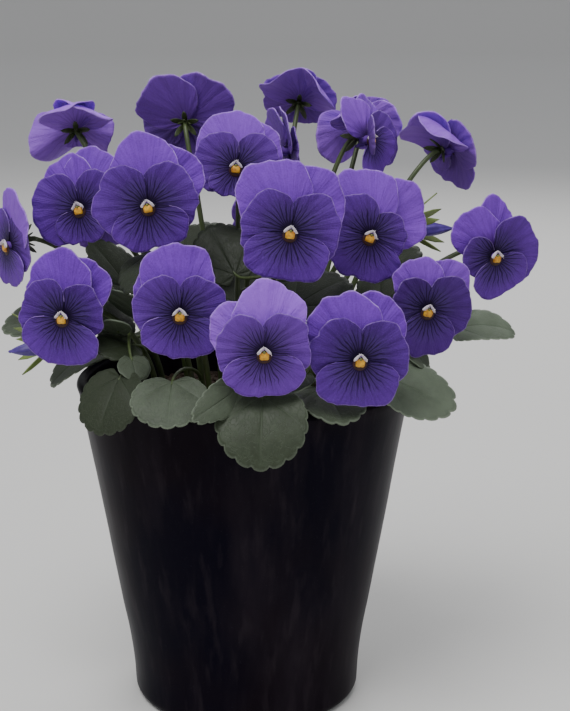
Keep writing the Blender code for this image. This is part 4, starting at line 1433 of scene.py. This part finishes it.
def leaf_parts(name, place, leaf, trees, finishes, thickness, tooth, luck):
    """A leaf: its stalk from the stem, which runs on as a rib, and its blade."""
    _, share, base, azimuth, elevation, roll, length, width, bend, kind, paleness_and_shade = leaf
    axes = leaf_axes(azimuth, elevation, roll)
    start = stem_point(place, share)
    end = Vector(base) + axes @ Vector(STALK_LAP)
    reach = (end - start).length
    out = Vector((end.x - start.x, end.y - start.y, 0)).normalized()
    # The stalk leaves the stem outwards and upwards, and meets the blade along its rib
    pulls = (
        start + (out * 0.5 + Vector((0, 0, 0.7))) * reach * 0.4,
        end - axes @ Vector((0, 1, 0)) * reach * 0.35,
    )
    shares = [step / STALK_STEPS for step in range(STALK_STEPS + 1)]
    points = [bezier(start, *pulls, end, share) for share in shares]
    radii = [STALK_RADIUS * (1 - 0.35 * share) for share in shares]
    stalk = tube_object(name + "_stalk", points, radii, trees["stalks"], finishes["stem"])
    inset, draw = LEAF_KINDS[kind]
    columns, rows, teeth = LEAF_SHEETS["small" if length < SMALL_LEAF else "large"]
    seed = {
        "inset": inset,
        "draw": draw,
        "length": length,
        "width": width,
        "bend": math.radians(bend),
        "teeth": teeth,
        "phase": luck.uniform(0, 6.28),
        "tone": paleness_and_shade,
    }
    settings = {
        "Columns": columns,
        "Rows": rows,
        "Fan": LEAF_FAN,
        "Tooth": tooth,
        "Puff": LEAF_PUFF * length,
        "Material": finishes["leaf"],
    }
    blade = grown(
        name + "_blade",
        [((0, 0, 0), seed)],
        trees["leaves"],
        settings,
        placed(base, axes),
        thickness,
        (finishes["leaf_back"],),
    )
    return [stalk, blade]


def calyx_parts(name, matrix, kind, trees, finish, luck):
    """The green cup behind a bloom, with five pointed sepals and their short back lobes."""
    reach, lean, curl, root = SEPALS[kind]
    lift = Matrix.Translation((0, CALYX_LIFT * MM, 0))
    shape = bmesh.new()
    bmesh.ops.create_uvsphere(shape, u_segments=16, v_segments=10, radius=1.0)
    middle = (CALYX_BACK + CALYX_FRONT) / 2
    for vert in shape.verts:
        narrow = 1.0 if vert.co.z > 0 else 1 + 0.3 * vert.co.z
        wide = CALYX_RADIUS * narrow
        vert.co = (vert.co.x * wide, vert.co.y * wide, vert.co.z * CALYX_DEPTH + middle)
    cup = solid_object(name + "_cup", shape, finish, matrix @ lift)
    seeds = []
    for turn in SEPAL_TURNS:
        for length, heading, tilt, inset in (
            (reach, turn + luck.uniform(-5, 5), lean + luck.uniform(-0.08, 0.05), root),
            (BACK_LOBE, turn, -1.5, 0.0),
        ):
            way = math.radians(heading)
            numbers = PLAIN_SEED | SEPAL_FORM | {
                "root_x": inset * math.cos(way),
                "root_y": inset * math.sin(way),
                "heading": way,
                "length": length * 0.85,
                "depth": CALYX_FRONT - SEPAL_SEAT,
                "lean": tilt,
                "curl": curl,
                "phase": luck.uniform(0, 6.28),
            }
            seeds.append(((0, 0, 0), numbers))
    settings = {
        "Columns": 13,
        "Rows": 11,
        "Fan": SEPAL_FAN,
        "Ruffle": 0.3,
        "Scallop": 0.02,
        "Material": finish,
    }
    sheet = SEPAL_THICKNESS * MM
    blades = grown(
        name + "_sepals", seeds, trees["fans"], settings, matrix @ lift, sheet, (finish,)
    )
    return [cup, blades]


class VIOLET_OT_stems(bpy.types.Operator):
    """Grow the leafy stems with their calyces"""

    bl_idname = "violet.stems"
    bl_label = "Leafy Stems"

    def execute(self, context):
        settings = context.scene.violet_foliage
        trees = {"stalks": stalk_tree(), "leaves": leaf_tree(), "fans": petal_tree()}
        finishes = {
            "stem": stem_material("violet_stem", settings.stem),
            # The calyx's darker green is painted shade
            "bloom": stem_material("calyx", settings.calyx),
            # The bright green round the buds is partly painted light
            "bud": stem_material("lit_bud_calyx", settings.lit_bud_calyx),
            "leaf": leaf_material("leaf_face", settings.leaf, settings.vein),
            "leaf_back": leaf_material(
                "leaf_back", shaded(settings.leaf, 1.25), settings.vein, rear=True
            ),
        }
        places = {"stem_" + n: (p, "bloom") for n, p in BLOOMS.items()}
        places |= {"bud_stem_" + n: (p, "bud") for n, p in BUDS.items()}
        for node, (place, kind) in places.items():
            luck = random.Random(node)
            name = "violet_" + node
            points = [Vector((*place[7], SOIL_TOP - STEM_DEPTH))]
            points += [stem_point(place, step / STEM_STEPS) for step in range(STEM_STEPS + 1)]
            points[2:-2] = [swayed(point) for point in points[2:-2]]
            last = len(points) - 1
            radii = [STEM_RADIUS * (1.05 - 0.25 * index / last) for index in range(last + 1)]
            parts = [tube_object(name, points, radii, trees["stalks"], finishes["stem"])]
            matrix = bloom_matrix(place)
            parts += calyx_parts(name, matrix, kind, trees, finishes[kind], luck)
            own = [leaf for leaf in LEAVES if "stem_" + leaf[0] == node]
            for index, leaf in enumerate(own):
                parts += leaf_parts(
                    f"{name}_leaf{index}",
                    place,
                    leaf,
                    trees,
                    finishes,
                    settings.thickness,
                    settings.tooth,
                    luck,
                )
            settle(joined(name, parts), node)
        return {"FINISHED"}


class VIOLET_OT_buds(bpy.types.Operator):
    """Grow the closed buds"""

    bl_idname = "violet.buds"
    bl_label = "Buds"

    def execute(self, context):
        finish = plain_material("bud_petals", BUD_VIOLET, 0.5, 0.3, 500.0, BUD_SHADE)
        for number, place in BUDS.items():
            length = place[6]
            profile = [(0.0, CORE_BACK)]
            for step in range(1, BUD_STEPS):
                share = step / BUD_STEPS
                swell = math.sin(math.pi * min(1.0, 0.22 + share * 0.86)) ** 0.8
                radius = BUD_NECK + BUD_SWELL * swell
                profile.append((radius, CORE_BACK + (length - CORE_BACK) * share))
            profile.append((0.0, length))
            shape = turned_shape(profile, BUD_SIDES)
            for vert in shape.verts:
                # Five petals are furled round each other
                around = math.atan2(vert.co.y, vert.co.x)
                furl = 1 + 0.09 * math.sin(5 * around + vert.co.z * 0.35)
                vert.co.x *= furl
                vert.co.y *= furl
            bud = solid_object("violet_bud_" + number, shape, finish, bloom_matrix(place))
            settle(bud, "bud_" + number)
        return {"FINISHED"}


def add_light(name, place, size, power):
    """A round soft light that looks at the plant."""
    lamp = bpy.data.lights.new(name, "AREA")
    lamp.shape = "DISK"
    lamp.size = size
    lamp.energy = power
    obj = link(name, lamp)
    obj.location = place
    way = Vector(LIGHT_TARGET) - obj.location
    obj.rotation_euler = way.to_track_quat("-Z", "Y").to_euler()


class VIOLET_OT_stage(bpy.types.Operator):
    """Lay the floor, hang the lights and set the camera"""

    bl_idname = "violet.stage"
    bl_label = "Stage"

    def execute(self, context):
        settings = context.scene.violet_stage
        bend = settings.cove * COVE_BEND / MM
        flat = settings.cove / MM - bend
        profile = [(flat * step / FLOOR_STEPS, 0.0) for step in range(FLOOR_STEPS + 1)]
        for step in range(1, COVE_STEPS + 1):
            angle = math.radians(90 * step / COVE_STEPS)
            profile.append((flat + bend * math.sin(angle), bend * (1 - math.cos(angle))))
        material = plain_material("pale_floor", settings.floor, 0.8, 0.05, 60.0, settings.floor)
        shape = turned_shape(profile[::-1], FLOOR_SIDES)
        solid_object("floor", shape, material, Matrix())
        for name, (place, size, share) in LIGHTS.items():
            add_light(name, place, size, settings.key_power * share)
        world = bpy.data.worlds.new("soft_sky")
        context.scene.world = world
        world.use_nodes = True
        sky = world.node_tree.nodes["Background"]
        sky.inputs["Color"].default_value = SKY
        sky.inputs["Strength"].default_value = SKY_STRENGTH
        eye = bpy.data.cameras.new("camera")
        eye.sensor_width = CAMERA_SENSOR
        eye.lens = settings.lens
        eye.clip_start = 0.01
        camera = link("camera", eye)
        camera.location = CAMERA_PLACE
        camera.rotation_euler = [math.radians(a) for a in (90 - CAMERA_DIP, 0, -CAMERA_TURN)]
        context.scene.camera = camera
        return {"FINISHED"}


class VIOLET_PT_panel(bpy.types.Panel):
    """The violet's pieces"""

    bl_label = "Potted Horned Violet"
    bl_idname = "VIOLET_PT_panel"
    bl_space_type = "VIEW_3D"
    bl_region_type = "UI"
    bl_category = "Violet"

    def draw(self, context):
        groups = (
            (context.scene.violet_pot, ("violet.pot", "violet.soil")),
            (context.scene.violet_blooms, ("violet.blooms", "violet.buds")),
            (context.scene.violet_foliage, ("violet.stems",)),
            (context.scene.violet_stage, ("violet.stage",)),
        )
        for settings, operators in groups:
            box = self.layout.box()
            for key in settings.__annotations__:
                box.prop(settings, key)
            for operator in operators:
                box.operator(operator)


CLASSES = (
    VioletPotSettings,
    VioletBloomSettings,
    VioletFoliageSettings,
    VioletStageSettings,
    VIOLET_OT_pot,
    VIOLET_OT_soil,
    VIOLET_OT_blooms,
    VIOLET_OT_stems,
    VIOLET_OT_buds,
    VIOLET_OT_stage,
    VIOLET_PT_panel,
)
SETTINGS = {
    "violet_pot": VioletPotSettings,
    "violet_blooms": VioletBloomSettings,
    "violet_foliage": VioletFoliageSettings,
    "violet_stage": VioletStageSettings,
}


def register():
    for cls in CLASSES:
        bpy.utils.register_class(cls)
    for name, group in SETTINGS.items():
        setattr(bpy.types.Scene, name, PointerProperty(type=group))


def unregister():
    for name in SETTINGS:
        delattr(bpy.types.Scene, name)
    for cls in reversed(CLASSES):
        bpy.utils.unregister_class(cls)


def main():
    register()
    bpy.ops.violet.pot()
    bpy.ops.violet.soil()
    bpy.ops.violet.blooms()
    bpy.ops.violet.stems()
    bpy.ops.violet.buds()
    bpy.ops.violet.stage()
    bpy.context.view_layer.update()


if __name__ == "__main__":
    main()
